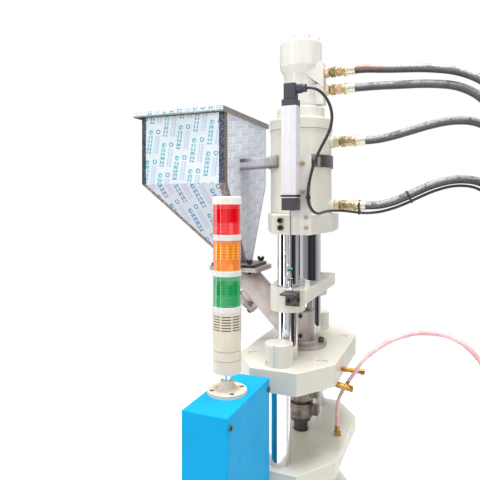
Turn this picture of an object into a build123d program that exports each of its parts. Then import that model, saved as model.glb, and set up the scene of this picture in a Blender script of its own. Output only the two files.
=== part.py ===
# Desktop injection moulding machine, in millimetres.
# The origin is on the underside of the base plate, on the axis of the screw. +X is to the right,
# +Y to the rear and +Z up. The hopper is on the left, the stack light and its box are in front.

import os
from math import cos, pi, radians, sin, sqrt, tan

from build123d import *

os.makedirs("parts", exist_ok=True)

# Heights, from the bench up
base_plate_thick = 12
cabinet_height = 250
table_thick = 30
table_gap = 48
moving_plate_thick = 35
mould_space = 150
mould_plate_thick = 35
barrel_space = 154
head_plate_thick = 46

cabinet_top = base_plate_thick + cabinet_height
table_top = cabinet_top + table_thick
moving_bottom = table_top + table_gap
moving_top = moving_bottom + moving_plate_thick
mould_plate_bottom = moving_top + mould_space
mould_plate_top = mould_plate_bottom + mould_plate_thick
head_bottom = mould_plate_top + barrel_space
head_top = head_bottom + head_plate_thick

# Plates
plate_half_x = 107
plate_half_y = 200
plate_corner_x = 58
plate_corner_y = 82
plate_edge_round = 1.5
recess_x = 78
recess_y = 107
recess_radius = 11.5
recess_depth = 2.5
stud_hole_radius = 7

# Tie bars and their caps
tie_bar_y = 160
tie_bar_radius = 24
tie_bar_lower_radius = 21
tie_bar_neck_radius = 20
tie_bar_foot_radius = 17
cap_radius = 29
cap_height = 45
cap_slot = 4
cap_slot_depth = 1.5
cap_screw_height = 8
cap_screw_angle = 48
cap_screw_radius = 3
cap_screw_depth = 7
tie_nut_radius = 30
tie_nut_height = 20

# Guide rods, crosshead and piston rod
guide_rod_y = 101
guide_rod_radius = 22
guide_clearance = 0.06
crosshead_rise = 124.5
crosshead_thick = 28
crosshead_half_x = 52.5
crosshead_front = 139
crosshead_back = 134
crosshead_boss_radius = 38
crosshead_boss_drop = 23
centre_boss_radius = 24
centre_boss_drop = 12
crosshead_edge_round = 2
piston_rod_radius = 45.6
piston_rod_bore_radius = 24
piston_height = 30
piston_rod_length = 220
piston_clearance = 0.08

# Injection cylinder
lower_head_rise = 265.5
lower_head_thick = 42.5
lower_head_radius = 77
lower_head_front = 140
lower_head_flat = 22
lower_head_edge_round = 6
head_screw_x = -3.5
head_screw_heights = (14.5, 29.5)
rod_seat = 8
cylinder_radius = 71
cylinder_bore_radius = 56
cylinder_length = 192
cylinder_cap_radius = 73.5
cylinder_cap_thick = 25.5
cylinder_cap_round = 5
upper_port_drop = 28
lower_port_height = 18
port_boss_radius = 14
port_boss_length = 9
port_hole_radius = 6

# Screw drive
adapter_radius = 55
adapter_thick = 27
spigot_radius = 41
spigot_height = 7
motor_flange_radius = 43
motor_flange_thick = 18
motor_neck_radius = 39
motor_neck_height = 53.5
motor_cone_height = 17
motor_shell_height = 20
motor_radius = 49
motor_ring_height = 28
motor_cover_height = 9
motor_cover_round = 3
motor_pad_x = 57
motor_pad_half_y = 15
motor_pad_root = (19, 37)
motor_pad_reach = (24, 35)
motor_block_y = (-14, 16)
motor_block_above = 14
motor_port_rises = (633, 592)
port_depth = 15
motor_bolt_count = 7
motor_bolt_circle = 38
motor_bolt_head_radius = 7.6
motor_bolt_head_height = 9
motor_shaft_radius = 12
motor_shaft_bottom_rise = 285
shaft_clearance = 0.08

# Screw, barrel and feed casting
screw_radius = 12.5
screw_tip_length = 14
screw_tip_gap = 12
screw_shank_radius = 11
screw_socket_radius = 20
screw_socket_bottom_rise = 160
screw_socket_top_rise = 330
screw_socket_floor = 10
screw_clearance = 0.08
barrel_radius = 23
barrel_bore_radius = screw_radius + screw_clearance
barrel_top_rise = 78
barrel_bottom_rise = -176
barrel_collar_radius = 30
barrel_collar_thick = 10
nozzle_radius = 16
nozzle_length = 24
nozzle_tip_radius = 6
nozzle_tip_length = 13
nozzle_bore_radius = 2
heater_radius = 28.5
heater_height = 32
heater_pitch = 40
heater_count = 3
heater_box = (16, 22, 20)
casting_flange_radius = 60
casting_flange_thick = 9
casting_tube_radius = 32
casting_tube_height = 80
casting_bolt_circle = 48
casting_bolt_count = 4
casting_bolt_turn = 2
side_screw_turn = -76
side_screw_rises = (28, 73)
bolt_head_clearance = 1
feed_pipe_radius = 31
feed_pipe_bore = 26
feed_pipe_line = 14
feed_pipe_foot_x = -16
feed_flange_x = -158
feed_flange_middle = -154
feed_flange_size = (128, 104)
feed_flange_rise = 168
feed_flange_thick = 10
feed_flange_corner = 8
drain_x = -111
drain_radius = 19
drain_bore = 14
drain_reach = 41
drain_cover_radius = 21.5
drain_cover_thick = 11
drain_pivot_offset = 27
drain_pivot_radius = 4
drain_ear_radius = 9

# Hopper, its gate and its stay
hopper_right_x = -142
hopper_left_x = -363
hopper_y = (-122, 144)
hopper_bend_rise = 377
hopper_lip_rise = 537
hopper_top_rise = 549
hopper_wall = 1.5
hopper_rim = 15
hopper_hem = 4
hopper_outlet_x = (-178, -136)
hopper_outlet_y = (-21, 30)
hopper_plate_size = (112, 96)
hopper_plate_thick = 4
hopper_plate_corner = 6
gate_thick = 3
gate_gap = 0.2
gate_width = 60
gate_back = 32
gate_front = 66
gate_knob_radius = 6
gate_knob_height = 14
stud_offset = (42, 39)
wing_nut_radius = 5.5
stud_radius = 4
stud_clearance = 0.1
stud_drop = 6
wing_span = 17
wing_thick = 3
wing_height = 9
band_rise = 412
band_height = 28
band_thick = 4
band_gap_x = (-36, 28)
band_gap_y = -18
lug_angle = -52
lug_size = (24, 16)
lug_slit = 3
stay_back_y = 20
stay_front = ((-142, -35), (-36, -71))
stay_thick = 5
stay_top_drop = 2
stay_lip = 1

# Stroke sensor
sensor_left = 9
sensor_width = 32.5
sensor_depth = 30
sensor_plate_thick = 5
sensor_plate_x = (23, 63)
sensor_plate_rises = (266, 432)
plate_screw_insets = (9.8, 16.6)
plate_screw_heights = ((15, 36.5), (89, 146.5))
sensor_corner = 3
cap_inset = 0.3
sensor_body_rises = (342, 528)
sensor_cap_height = 13
sensor_foot_height = 25
sensor_rod_x = 24
sensor_rod_y = -160
sensor_rod_radius = 2.5
sensor_rod_bottom_rise = 157
sensor_rod_inside = 12
rod_nut_radius = 6.5
rod_nut_starts = (16, 36)
rod_nut_height = 5
rod_sleeve = (5, 4)
rod_seat_height = 3
stroke_up = 105
bracket_x = (8, 38)
bracket_thick = 4
bracket_front = 180
bracket_height = 31
bracket_drop = -6.5
connector_rises = (541, 575)
connector_width = 25
connector_depth = 22
connector_gland_rise = 563.5
connector_gland_radius = 10
gland_hex_length = 12
connector_gland_length = 20

# Hoses and their fittings
hose_radius = 9
ferrule_radius = 10.8
ferrule_length = 26
fitting_nut_radius = 13
fitting_neck_radius = 9
fitting_swivel_radius = 12
fitting_steps = (16, 26)
fitting_length = 44
manifold_thick = 45
manifold_height = 60
manifold_half_y = 100
manifold_rise = 150
manifold_port_pitch = 52
manifold_port_height = 180
cable_radius = 3
tie_width = 4
tie_thick = 1.2
tie_clearance = 0.6
tie_foot_depth = 0.9

# Stack light and control box
tower_x = -44
tower_y = -320
tower_foot_radius = 36
tower_foot_thick = 7
tower_boss_radii = (20, 14.5, 11.5)
tower_boss_heights = (0, 5, 16)
tower_foot_hole_circle = 28
tower_foot_hole_radius = 4.5
tower_foot_turn = 43
tower_pole_radius = 7.5
tower_base_rise = 31.2
tower_base_radius = 25.5
tower_base_height = 107.8
tower_seams = (22.5, 39.5)
tower_seam = 0.8
slot_rows = 6
slot_pitch = 4.75
slot_first = 77.5
slot_size = (4, 17, 2)
slot_turn = 22
tower_ring_radius = 26
tower_ring_height = 10
tower_lens_radius = 25
tower_lens_wall = 2.5
tower_lens_height = 53.5
tower_cap_height = 14
tower_cap_round = 3
box_x = (-82, 2)
box_y = (-417, -223)
box_top_drop = 7
box_sheet = 2
box_edge_round = 2
box_screw_inset = 9
box_screw_drop = 19
box_screw_radius = 5

# Base
base_half_x = 190
base_y = (-430, 230)
bench_hole_x = 175
bench_hole_y = 200
bench_hole_radius = 7
cabinet_half_x = 160
cabinet_half_y = tie_bar_y + tie_nut_radius + 25
cabinet_sheet = 3
cabinet_lip = 20
table_half_x = 150
table_corner = 25
louvre_count = 6
louvre_pitch = 22
louvre_size = (160, 6)
clamp_cylinder_radius = 52
clamp_cylinder_bore = 40
clamp_cylinder_length = 200
clamp_flange_radius = 70
clamp_flange_thick = 18
clamp_floor = 12
clamp_rod_radius = 28
clamp_piston_height = 25

# Water
nipple_y = -60
nipple_height = -26.5
nipple_steps = (42, 50)
nipple_radii = (6, 6.6)
elbow_x = 86
elbow_height = -59
elbow_tilt = 10
elbow_radius = 7.5
elbow_pipe_radius = 6
elbow_length = 47.5
nipple_bore = (3.5, 12)
water_radius = 4.5
hose_foot_y = 0
hose_foot_rise = -178
foot_nut = (8, 10)
foot_pipe_radius = 5.5
bulkhead_y = 130
bulkhead_nut = (11, 14)
bulkhead_length = 40
cable_gland_nut = (9, 10)
cable_gland_radius = 8
cable_gland_cap = (8.7, 25)

# Screws: head radius, head height, shank radius, shank length
flange_bolt = (6.5, 10, 3.3, 22)
side_screw = (5, 5, 2.5, 6)
head_screw = (6, 5, 3, 12)
plate_screw = (4, 2.5, 2, 8)
cover_screw = (box_screw_radius, 2.5, 2, 4)
pivot_bolt = (6.5, 6, drain_pivot_radius, 24)

box_top = head_top - box_top_drop
lower_port_rise = lower_head_rise + lower_head_thick + lower_port_height
upper_port_rise = lower_head_rise + lower_head_thick + cylinder_length - upper_port_drop
stood = (Align.CENTER, Align.CENTER, Align.MIN)


def rise(height):
    """A height above the head plate's top, as a height above the bench."""
    return head_top + height


def save(part, name):
    part.part.label = name
    export_step(part.part, f"parts/{name}.step")


def octagon():
    """The corner points that the three big plates share."""
    inner_x = plate_half_x - plate_corner_x
    inner_y = plate_half_y - plate_corner_y
    right = [(inner_x, -plate_half_y), (plate_half_x, -inner_y), (plate_half_x, inner_y), (inner_x, plate_half_y)]
    return right + [(-x, -y) for x, y in right]


def turned(radius, bottom, top):
    """A round bar on the machine axis, joined to the open part."""
    with Locations((0, 0, bottom)):
        Cylinder(radius, top - bottom, align=stood)


def bored(radius, bottom, top, places=((0, 0),)):
    """Round holes along Z, cut from the open part."""
    with Locations(*[(x, y, bottom) for x, y in places]):
        Cylinder(radius, top - bottom, align=stood, mode=Mode.SUBTRACT)


def drill(plane, radius, depth):
    """A round hole, cut from the open part into the plane."""
    with Locations(plane.offset(-depth)):
        Cylinder(radius, depth, align=stood, mode=Mode.SUBTRACT)


def screw_in(plane, size):
    """A socket screw with its head on the plane, joined to the open part."""
    head_radius, head_height, shank_radius, length = size
    with Locations(plane):
        Cylinder(head_radius, head_height, align=stood)
    with Locations(plane.offset(-length)):
        Cylinder(shank_radius, length, align=stood)
    with BuildSketch(plane.offset(head_height)) as socket:
        RegularPolygon(head_radius * 0.55, 6)
    extrude(socket.sketch, amount=-head_height * 0.6, mode=Mode.SUBTRACT)


def hex_bar(plane, radius, start, end):
    """A stretch of hexagon bar along the plane's normal, joined to the open part."""
    with BuildSketch(plane.offset(start)) as hexagon:
        RegularPolygon(radius, 6)
    extrude(hexagon.sketch, amount=end - start)


def round_bar(plane, radius, start, end, mode=Mode.ADD):
    """A stretch of round bar along the plane's normal, joined to the open part or cut from it."""
    with Locations(plane.offset(start)):
        Cylinder(radius, end - start, align=stood, mode=mode)


def ring_angle(turn, count):
    return [turn + 360 * k / count for k in range(count)]


# Planes that holes and screws share
flange_bolt_planes = [
    Plane((casting_bolt_circle * cos(radians(a)), casting_bolt_circle * sin(radians(a)), rise(casting_flange_thick)))
    for a in ring_angle(casting_bolt_turn, casting_bolt_count)
]

tie_places = ((0, -tie_bar_y), (0, tie_bar_y))
rod_places = ((0, -guide_rod_y), (0, guide_rod_y))
recess_places = [(x, y) for x in (-recess_x, recess_x) for y in (-recess_y, recess_y)]

# Base plate
with BuildPart() as base_plate:
    with BuildSketch():
        with Locations((0, (base_y[0] + base_y[1]) / 2)):
            RectangleRounded(2 * base_half_x, base_y[1] - base_y[0], table_corner)
        with GridLocations(2 * bench_hole_x, 2 * bench_hole_y, 2, 2):
            Circle(bench_hole_radius, mode=Mode.SUBTRACT)
    extrude(amount=base_plate_thick)
    chamfer(base_plate.faces().sort_by(Axis.Z)[-1].outer_wire().edges(), plate_edge_round)
save(base_plate, "base_plate")

# Base cabinet: four folded walls with lips at the top and the bottom, and louvres front and back
with BuildPart() as base_cabinet:
    with BuildSketch(Plane.XY.offset(base_plate_thick)):
        Rectangle(2 * cabinet_half_x, 2 * cabinet_half_y)
    extrude(amount=cabinet_height)
    with BuildSketch(Plane.XY.offset(base_plate_thick + cabinet_sheet)):
        Rectangle(2 * (cabinet_half_x - cabinet_sheet), 2 * (cabinet_half_y - cabinet_sheet))
    extrude(amount=cabinet_height - 2 * cabinet_sheet, mode=Mode.SUBTRACT)
    with BuildSketch(Plane.XY.offset(base_plate_thick)):
        Rectangle(2 * (cabinet_half_x - cabinet_lip), 2 * (cabinet_half_y - cabinet_lip))
    extrude(amount=cabinet_height, mode=Mode.SUBTRACT)
    with BuildSketch(Plane.XZ.offset(cabinet_half_y)):
        with Locations((0, base_plate_thick + cabinet_height / 2)):
            with GridLocations(0, louvre_pitch, 1, louvre_count):
                SlotOverall(*louvre_size)
    extrude(amount=-2 * cabinet_half_y, mode=Mode.SUBTRACT)
save(base_cabinet, "base_cabinet")

# Table plate: the tie bars' feet and the clamp rod pass through it
with BuildPart() as table_plate:
    with BuildSketch(Plane.XY.offset(cabinet_top)):
        RectangleRounded(2 * table_half_x, 2 * cabinet_half_y, table_corner)
        with Locations(*tie_places):
            Circle(tie_bar_foot_radius, mode=Mode.SUBTRACT)
        Circle(clamp_rod_radius + guide_clearance, mode=Mode.SUBTRACT)
    extrude(amount=table_thick)
    chamfer(table_plate.faces().sort_by(Axis.Z)[-1].outer_wire().edges(), plate_edge_round)
save(table_plate, "table_plate")

# Clamp cylinder, hung under the table, with its floor at the bottom
clamp_bottom = cabinet_top - clamp_cylinder_length
with BuildPart() as clamp_cylinder:
    turned(clamp_cylinder_radius, clamp_bottom, cabinet_top)
    turned(clamp_flange_radius, cabinet_top - clamp_flange_thick, cabinet_top)
    bored(clamp_cylinder_bore, clamp_bottom + clamp_floor, cabinet_top)
save(clamp_cylinder, "clamp_cylinder")

# Clamp ram: a chromed rod with its piston
ram_bottom = clamp_bottom + clamp_floor + 2
with BuildPart() as clamp_ram:
    turned(clamp_rod_radius, ram_bottom, moving_bottom)
    turned(clamp_cylinder_bore - piston_clearance, ram_bottom, ram_bottom + clamp_piston_height)
save(clamp_ram, "clamp_ram")


def big_plate(bottom, thick, tie_radius):
    """An octagonal plate with its tie bar holes, joined to the open part."""
    with BuildSketch(Plane.XY.offset(bottom)) as outline:
        Polygon(*octagon(), align=None)
        with Locations(*tie_places):
            Circle(tie_radius, mode=Mode.SUBTRACT)
    extrude(outline.sketch, amount=thick)


def soften_plate(plate):
    """Rounds the outer edges of a big plate."""
    for face in (plate.faces().sort_by(Axis.Z)[-1], plate.faces().sort_by(Axis.Z)[0]):
        fillet(face.outer_wire().edges(), plate_edge_round)


# Moving plate and fixed mould plate, with four stud holes each for the mould
with BuildPart() as moving_plate:
    big_plate(moving_bottom, moving_plate_thick, tie_bar_lower_radius + guide_clearance)
    soften_plate(moving_plate)
    bored(stud_hole_radius, moving_top - 25, moving_top, recess_places)
save(moving_plate, "moving_plate")

with BuildPart() as fixed_mould_plate:
    big_plate(mould_plate_bottom, mould_plate_thick, tie_bar_lower_radius)
    soften_plate(fixed_mould_plate)
    bored(stud_hole_radius, mould_plate_bottom, mould_plate_bottom + 25, recess_places)
    bored(nozzle_radius + 2, mould_plate_top - 20, mould_plate_top)
    bored(nozzle_tip_radius - 1, mould_plate_bottom, mould_plate_top - 20)
    bored(water_radius, mould_plate_top - 12, mould_plate_top, [(elbow_x, hose_foot_y)])
save(fixed_mould_plate, "fixed_mould_plate")

# Head plate: shallow round recesses, the barrel's seat and the guide rods' sockets
rod_socket_bottom = head_bottom + rod_seat
with BuildPart() as head_plate:
    big_plate(head_bottom, head_plate_thick, tie_bar_neck_radius)
    soften_plate(head_plate)
    bored(recess_radius, head_top - recess_depth, head_top, recess_places)
    bored(guide_rod_radius, rod_socket_bottom, head_top, rod_places)
    bored(barrel_radius, head_bottom, head_top)
    bored(barrel_collar_radius, head_top - barrel_collar_thick, head_top)
    for bolt_plane in flange_bolt_planes:
        drill(bolt_plane, flange_bolt[2], flange_bolt[3])
    with BuildSketch(Plane.YZ.offset(plate_half_x)):
        with Locations((nipple_y, rise(nipple_height))):
            Circle(water_radius)
    extrude(amount=-20, mode=Mode.SUBTRACT)
    bored(water_radius, head_bottom, head_bottom + 12, [(elbow_x, nipple_y)])
save(head_plate, "head_plate")

# Tie bars: foot through the table, lower stretch for the moving plate, thick stretch up to the head plate
with BuildPart() as tie_bars:
    for place in tie_places:
        with Locations((*place, 0)):
            with Locations((0, 0, cabinet_top - tie_nut_height)):
                Cylinder(tie_bar_foot_radius, table_top - cabinet_top + tie_nut_height, align=stood)
            with Locations((0, 0, table_top)):
                Cylinder(tie_bar_lower_radius, mould_plate_top - table_top, align=stood)
            with Locations((0, 0, mould_plate_top)):
                Cylinder(tie_bar_radius, head_bottom - mould_plate_top, align=stood)
            with Locations((0, 0, head_bottom)):
                Cylinder(tie_bar_neck_radius, head_plate_thick + cap_height, align=stood)
save(tie_bars, "tie_bars")

# Tie bar caps: collars with a shallow keyway and the hole of a grub screw
with BuildPart() as tie_bar_caps:
    with BuildSketch(Plane.XY.offset(head_top)):
        with Locations(*tie_places):
            Circle(cap_radius)
            Circle(tie_bar_neck_radius, mode=Mode.SUBTRACT)
    extrude(amount=cap_height)
    outer = tie_bar_caps.edges().filter_by(GeomType.CIRCLE).group_by(Axis.Z)[-1]
    fillet([e for e in outer if e.radius > tie_bar_neck_radius + 1], plate_edge_round)
    for side in (-1, 1):
        with Locations((0, side * (tie_bar_y + cap_radius), head_top)):
            Box(cap_slot, 2 * cap_slot_depth, cap_height, align=stood, mode=Mode.SUBTRACT)
        facing = Vector(side * cos(radians(cap_screw_angle)), side * sin(radians(cap_screw_angle)), 0)
        drill(
            Plane(Vector(0, side * tie_bar_y, rise(cap_screw_height)) + facing * cap_radius, z_dir=facing),
            cap_screw_radius,
            cap_screw_depth,
        )
save(tie_bar_caps, "tie_bar_caps")

# Tie bar nuts: two under the table and two under the fixed mould plate
with BuildPart() as tie_bar_nuts:
    for bottom, hole in (
        (cabinet_top - tie_nut_height, tie_bar_foot_radius),
        (mould_plate_bottom - tie_nut_height, tie_bar_lower_radius),
    ):
        with BuildSketch(Plane.XY.offset(bottom)):
            with Locations(*tie_places):
                RegularPolygon(tie_nut_radius, 6)
                Circle(hole, mode=Mode.SUBTRACT)
        extrude(amount=tie_nut_height)
save(tie_bar_nuts, "tie_bar_nuts")

# Guide rods, from the head plate up into the lower head of the cylinder
rod_top = rise(lower_head_rise + lower_head_thick - rod_seat)
with BuildPart() as guide_rods:
    with BuildSketch(Plane.XY.offset(rod_socket_bottom)):
        with Locations(*rod_places):
            Circle(guide_rod_radius)
    extrude(amount=rod_top - rod_socket_bottom)
save(guide_rods, "guide_rods")

# Feed casting: flange and tube round the barrel, inclined feed pipe, square top flange and drain branch
pipe_foot = (feed_pipe_foot_x, 0, rise(feed_pipe_line - feed_pipe_foot_x))
pipe_plane = Plane(pipe_foot, x_dir=(0, 1, 0), z_dir=(-1, 0, 1))
pipe_length = (feed_flange_rise - feed_pipe_line + feed_pipe_foot_x) * sqrt(2)
drain_plane = Plane((drain_x, 0, rise(feed_pipe_line - drain_x)), x_dir=(1, 0, -1), z_dir=(-1, 0, -1))
drain_pivot = Plane(drain_plane.from_local_coords((drain_pivot_offset, 0, 0)), z_dir=drain_plane.z_dir)
stud_places = [
    (feed_flange_x + i * stud_offset[0], j * stud_offset[1]) for i in (-1, 1) for j in (-1, 1)
]
side_facing = Vector(cos(radians(side_screw_turn)), sin(radians(side_screw_turn)), 0)
side_screw_planes = [
    Plane(side_facing * casting_tube_radius + Vector(0, 0, rise(height)), z_dir=side_facing)
    for height in side_screw_rises
]
feed_flange_top = rise(feed_flange_rise + feed_flange_thick)
with BuildPart() as feed_casting:
    turned(casting_flange_radius, head_top, rise(casting_flange_thick))
    turned(casting_tube_radius, head_top, rise(casting_tube_height))
    fillet(feed_casting.edges().filter_by(GeomType.CIRCLE).group_by(SortBy.RADIUS)[0].group_by(Axis.Z)[0], 4)
    round_bar(pipe_plane, feed_pipe_radius, 0, pipe_length + feed_flange_thick / 2)
    round_bar(drain_plane, drain_radius, 0, drain_reach - 4)
    round_bar(drain_plane, drain_cover_radius, drain_reach - 4, drain_reach)
    round_bar(drain_pivot, drain_ear_radius, feed_pipe_radius - 6, drain_reach)
    with BuildSketch(Plane.XY.offset(rise(feed_flange_rise))):
        with Locations((feed_flange_middle, 0)):
            RectangleRounded(*feed_flange_size, feed_flange_corner)
    extrude(amount=feed_flange_thick)
    bored(feed_pipe_radius * 3, feed_flange_top, feed_flange_top + 40, [(feed_flange_x, 0)])
    round_bar(pipe_plane, feed_pipe_bore, 8, pipe_length + 60, Mode.SUBTRACT)
    round_bar(drain_plane, drain_bore, 0, drain_reach, Mode.SUBTRACT)
    bored(barrel_radius, head_top, rise(casting_tube_height))
    bored(stud_radius + stud_clearance, rise(feed_flange_rise), feed_flange_top, stud_places)
    for bolt_plane in flange_bolt_planes:
        drill(bolt_plane, flange_bolt[2], casting_flange_thick)
        round_bar(bolt_plane, flange_bolt[0] + bolt_head_clearance, 0, flange_bolt[1] + 2, Mode.SUBTRACT)
    for screw_plane in side_screw_planes:
        drill(screw_plane, side_screw[2], side_screw[3])
    drill(drain_pivot.offset(drain_reach), drain_pivot_radius, pivot_bolt[3] - drain_cover_thick)
save(feed_casting, "feed_casting")

# Drain cover: a round lid that swings on its pivot bolt
with BuildPart() as drain_cover:
    with BuildSketch(drain_plane.offset(drain_reach)):
        Circle(drain_cover_radius)
        with Locations((drain_pivot_offset, 0)):
            Circle(drain_ear_radius)
        make_hull()
        with Locations((drain_pivot_offset, 0)):
            Circle(drain_pivot_radius + guide_clearance, mode=Mode.SUBTRACT)
    extrude(amount=drain_cover_thick)
save(drain_cover, "drain_cover")

# Barrel: its collar sits in the head plate, and the feed window opens into the pipe
with BuildPart() as barrel:
    turned(barrel_radius, rise(barrel_bottom_rise), rise(barrel_top_rise))
    turned(barrel_collar_radius, rise(-barrel_collar_thick), head_top)
    bored(barrel_bore_radius, rise(barrel_bottom_rise), rise(barrel_top_rise))
    with BuildSketch(pipe_plane.offset(-feed_pipe_foot_x)):
        SlotOverall(30, 20)
    extrude(amount=barrel_radius * 2, mode=Mode.SUBTRACT)
save(barrel, "barrel")

# Heater bands, each with its terminal box
with BuildPart() as heater_bands:
    for k in range(heater_count):
        top = rise(-head_plate_thick - 8 - k * heater_pitch)
        turned(heater_radius, top - heater_height, top)
        bored(barrel_radius, top - heater_height, top)
        with Locations((heater_radius + heater_box[0] / 2 - 2, 0, top - heater_height / 2)):
            Box(*heater_box)
        bored(barrel_radius, top - heater_height, top)
save(heater_bands, "heater_bands")

# Nozzle, screwed to the barrel's end and seated in the fixed mould plate
nozzle_top = rise(barrel_bottom_rise)
with BuildPart() as nozzle:
    turned(nozzle_radius, nozzle_top - nozzle_length, nozzle_top)
    with BuildSketch(Plane.XY.offset(nozzle_top - nozzle_length)):
        Circle(nozzle_radius - 2)
    extrude(amount=-nozzle_tip_length, taper=30)
    bored(nozzle_bore_radius, nozzle_top - nozzle_length - nozzle_tip_length, nozzle_top)
save(nozzle, "nozzle")

# Screw: tip, flighted stretch as its envelope, shank and the socket that slides on the motor's shaft
with BuildPart() as screw:
    flight_bottom = rise(barrel_bottom_rise + screw_tip_gap)
    turned(screw_radius, flight_bottom + screw_tip_length, rise(barrel_top_rise - 6))
    with BuildSketch(Plane.XY.offset(flight_bottom + screw_tip_length)):
        Circle(screw_radius - 1)
    extrude(amount=-screw_tip_length, taper=30)
    turned(screw_shank_radius, rise(barrel_top_rise - 6), rise(screw_socket_bottom_rise))
    turned(screw_socket_radius, rise(screw_socket_bottom_rise), rise(screw_socket_top_rise))
    socket_floor = rise(screw_socket_bottom_rise + screw_socket_floor)
    bored(motor_shaft_radius + shaft_clearance, socket_floor, rise(screw_socket_top_rise))
save(screw, "screw")

# Crosshead: square on its right side and following its bosses on the left
crosshead_bottom = rise(crosshead_rise)
crosshead_top = crosshead_bottom + crosshead_thick
bracket_screw_plane = Plane(
    ((bracket_x[0] + bracket_x[1]) / 2, -crosshead_front - bracket_thick, crosshead_bottom + 6), z_dir=(0, -1, 0)
)
with BuildPart() as crosshead:
    with BuildSketch(Plane.XY.offset(crosshead_bottom)):
        Circle(crosshead_half_x)
        with Locations(*rod_places):
            Circle(crosshead_boss_radius)
        make_hull()
        with Locations((crosshead_half_x / 2, (crosshead_back - crosshead_front) / 2)):
            Rectangle(crosshead_half_x, crosshead_back + crosshead_front)
    extrude(amount=crosshead_thick)
    fillet(crosshead.edges().filter_by(Axis.Z).group_by(Axis.X)[-1], 4)
    fillet(crosshead.faces().sort_by(Axis.Z)[-1].outer_wire().edges(), crosshead_edge_round)
    with BuildSketch(Plane.XY.offset(crosshead_bottom)):
        with Locations(*rod_places):
            Circle(crosshead_boss_radius - 0.5)
    extrude(amount=-crosshead_boss_drop)
    turned(centre_boss_radius, crosshead_bottom - centre_boss_drop, crosshead_bottom)
    bored(guide_rod_radius + guide_clearance, crosshead_bottom - crosshead_boss_drop, crosshead_top, rod_places)
    bored(screw_shank_radius + screw_clearance, crosshead_bottom - centre_boss_drop, crosshead_top)
    drill(bracket_screw_plane.offset(-bracket_thick), plate_screw[2], plate_screw[3])
save(crosshead, "crosshead")

# Piston rod: hollow and chromed, with its piston at the top
piston_bottom = crosshead_top + piston_rod_length - piston_height
with BuildPart() as piston_rod:
    turned(piston_rod_radius, crosshead_top, piston_bottom)
    turned(cylinder_bore_radius - piston_clearance, piston_bottom, piston_bottom + piston_height)
    bored(piston_rod_bore_radius, crosshead_top, piston_bottom + piston_height)
save(piston_rod, "piston_rod")

# Lower head of the injection cylinder: round, with flats front and rear that hold the guide rods
lower_head_bottom = rise(lower_head_rise)
lower_head_top = lower_head_bottom + lower_head_thick
flat_right = sensor_plate_x[1] - 3
head_screw_planes = [
    Plane((head_screw_x, -lower_head_front, lower_head_bottom + height), z_dir=(0, -1, 0))
    for height in head_screw_heights
]
sensor_screw_planes = [
    Plane(
        (sensor_plate_x[1] - inset, -lower_head_front - sensor_plate_thick, rise(sensor_plate_rises[0] + height)),
        z_dir=(0, -1, 0),
    )
    for inset, pair in zip(plate_screw_insets, plate_screw_heights)
    for height in pair
]
with BuildPart() as lower_head:
    with BuildSketch(Plane.XY.offset(lower_head_bottom)):
        Circle(lower_head_radius)
        with Locations(((flat_right - lower_head_flat) / 2, 0)):
            Rectangle(flat_right + lower_head_flat, 2 * lower_head_front)
        make_hull()
    extrude(amount=lower_head_thick)
    fillet(lower_head.edges().filter_by(Axis.Z), lower_head_edge_round)
    for face in (lower_head.faces().sort_by(Axis.Z)[-1], lower_head.faces().sort_by(Axis.Z)[0]):
        fillet(face.outer_wire().edges(), 3)
    bored(piston_rod_radius + guide_clearance, lower_head_bottom, lower_head_top)
    bored(guide_rod_radius, lower_head_bottom, rod_top, rod_places)
    for screw_plane in head_screw_planes:
        drill(screw_plane, head_screw[2], head_screw[3])
    for screw_plane in sensor_screw_planes[:2]:
        drill(screw_plane, plate_screw[2], plate_screw[3])
save(lower_head, "lower_head")

# Injection cylinder: a tube with a welded port boss near each end
cylinder_top = lower_head_top + cylinder_length
port_planes = [
    Plane((cylinder_radius, 0, rise(height)), x_dir=(0, 1, 0), z_dir=(1, 0, 0))
    for height in (upper_port_rise, lower_port_rise)
]
with BuildPart() as injection_cylinder:
    turned(cylinder_radius, lower_head_top, cylinder_top)
    for port in port_planes:
        round_bar(port, port_boss_radius, -cylinder_radius / 3, port_boss_length)
    bored(cylinder_bore_radius, lower_head_top, cylinder_top)
    for port in port_planes:
        round_bar(port, port_hole_radius, -cylinder_radius / 3, port_boss_length, Mode.SUBTRACT)
save(injection_cylinder, "injection_cylinder")

# Cylinder cap
cap_top = cylinder_top + cylinder_cap_thick
with BuildPart() as cylinder_cap:
    turned(cylinder_cap_radius, cylinder_top, cap_top)
    fillet(cylinder_cap.edges().group_by(Axis.Z)[-1], cylinder_cap_round)
    bored(motor_shaft_radius + shaft_clearance, cylinder_top, cap_top)
save(cylinder_cap, "cylinder_cap")

# Motor adapter, with the spigot that centres the motor
adapter_top = cap_top + adapter_thick
with BuildPart() as motor_adapter:
    turned(adapter_radius, cap_top, adapter_top)
    fillet(motor_adapter.edges().group_by(Axis.Z)[-1], 3)
    turned(spigot_radius, adapter_top, adapter_top + spigot_height)
    bored(motor_shaft_radius + shaft_clearance, cap_top, adapter_top + spigot_height)
save(motor_adapter, "motor_adapter")

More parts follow.
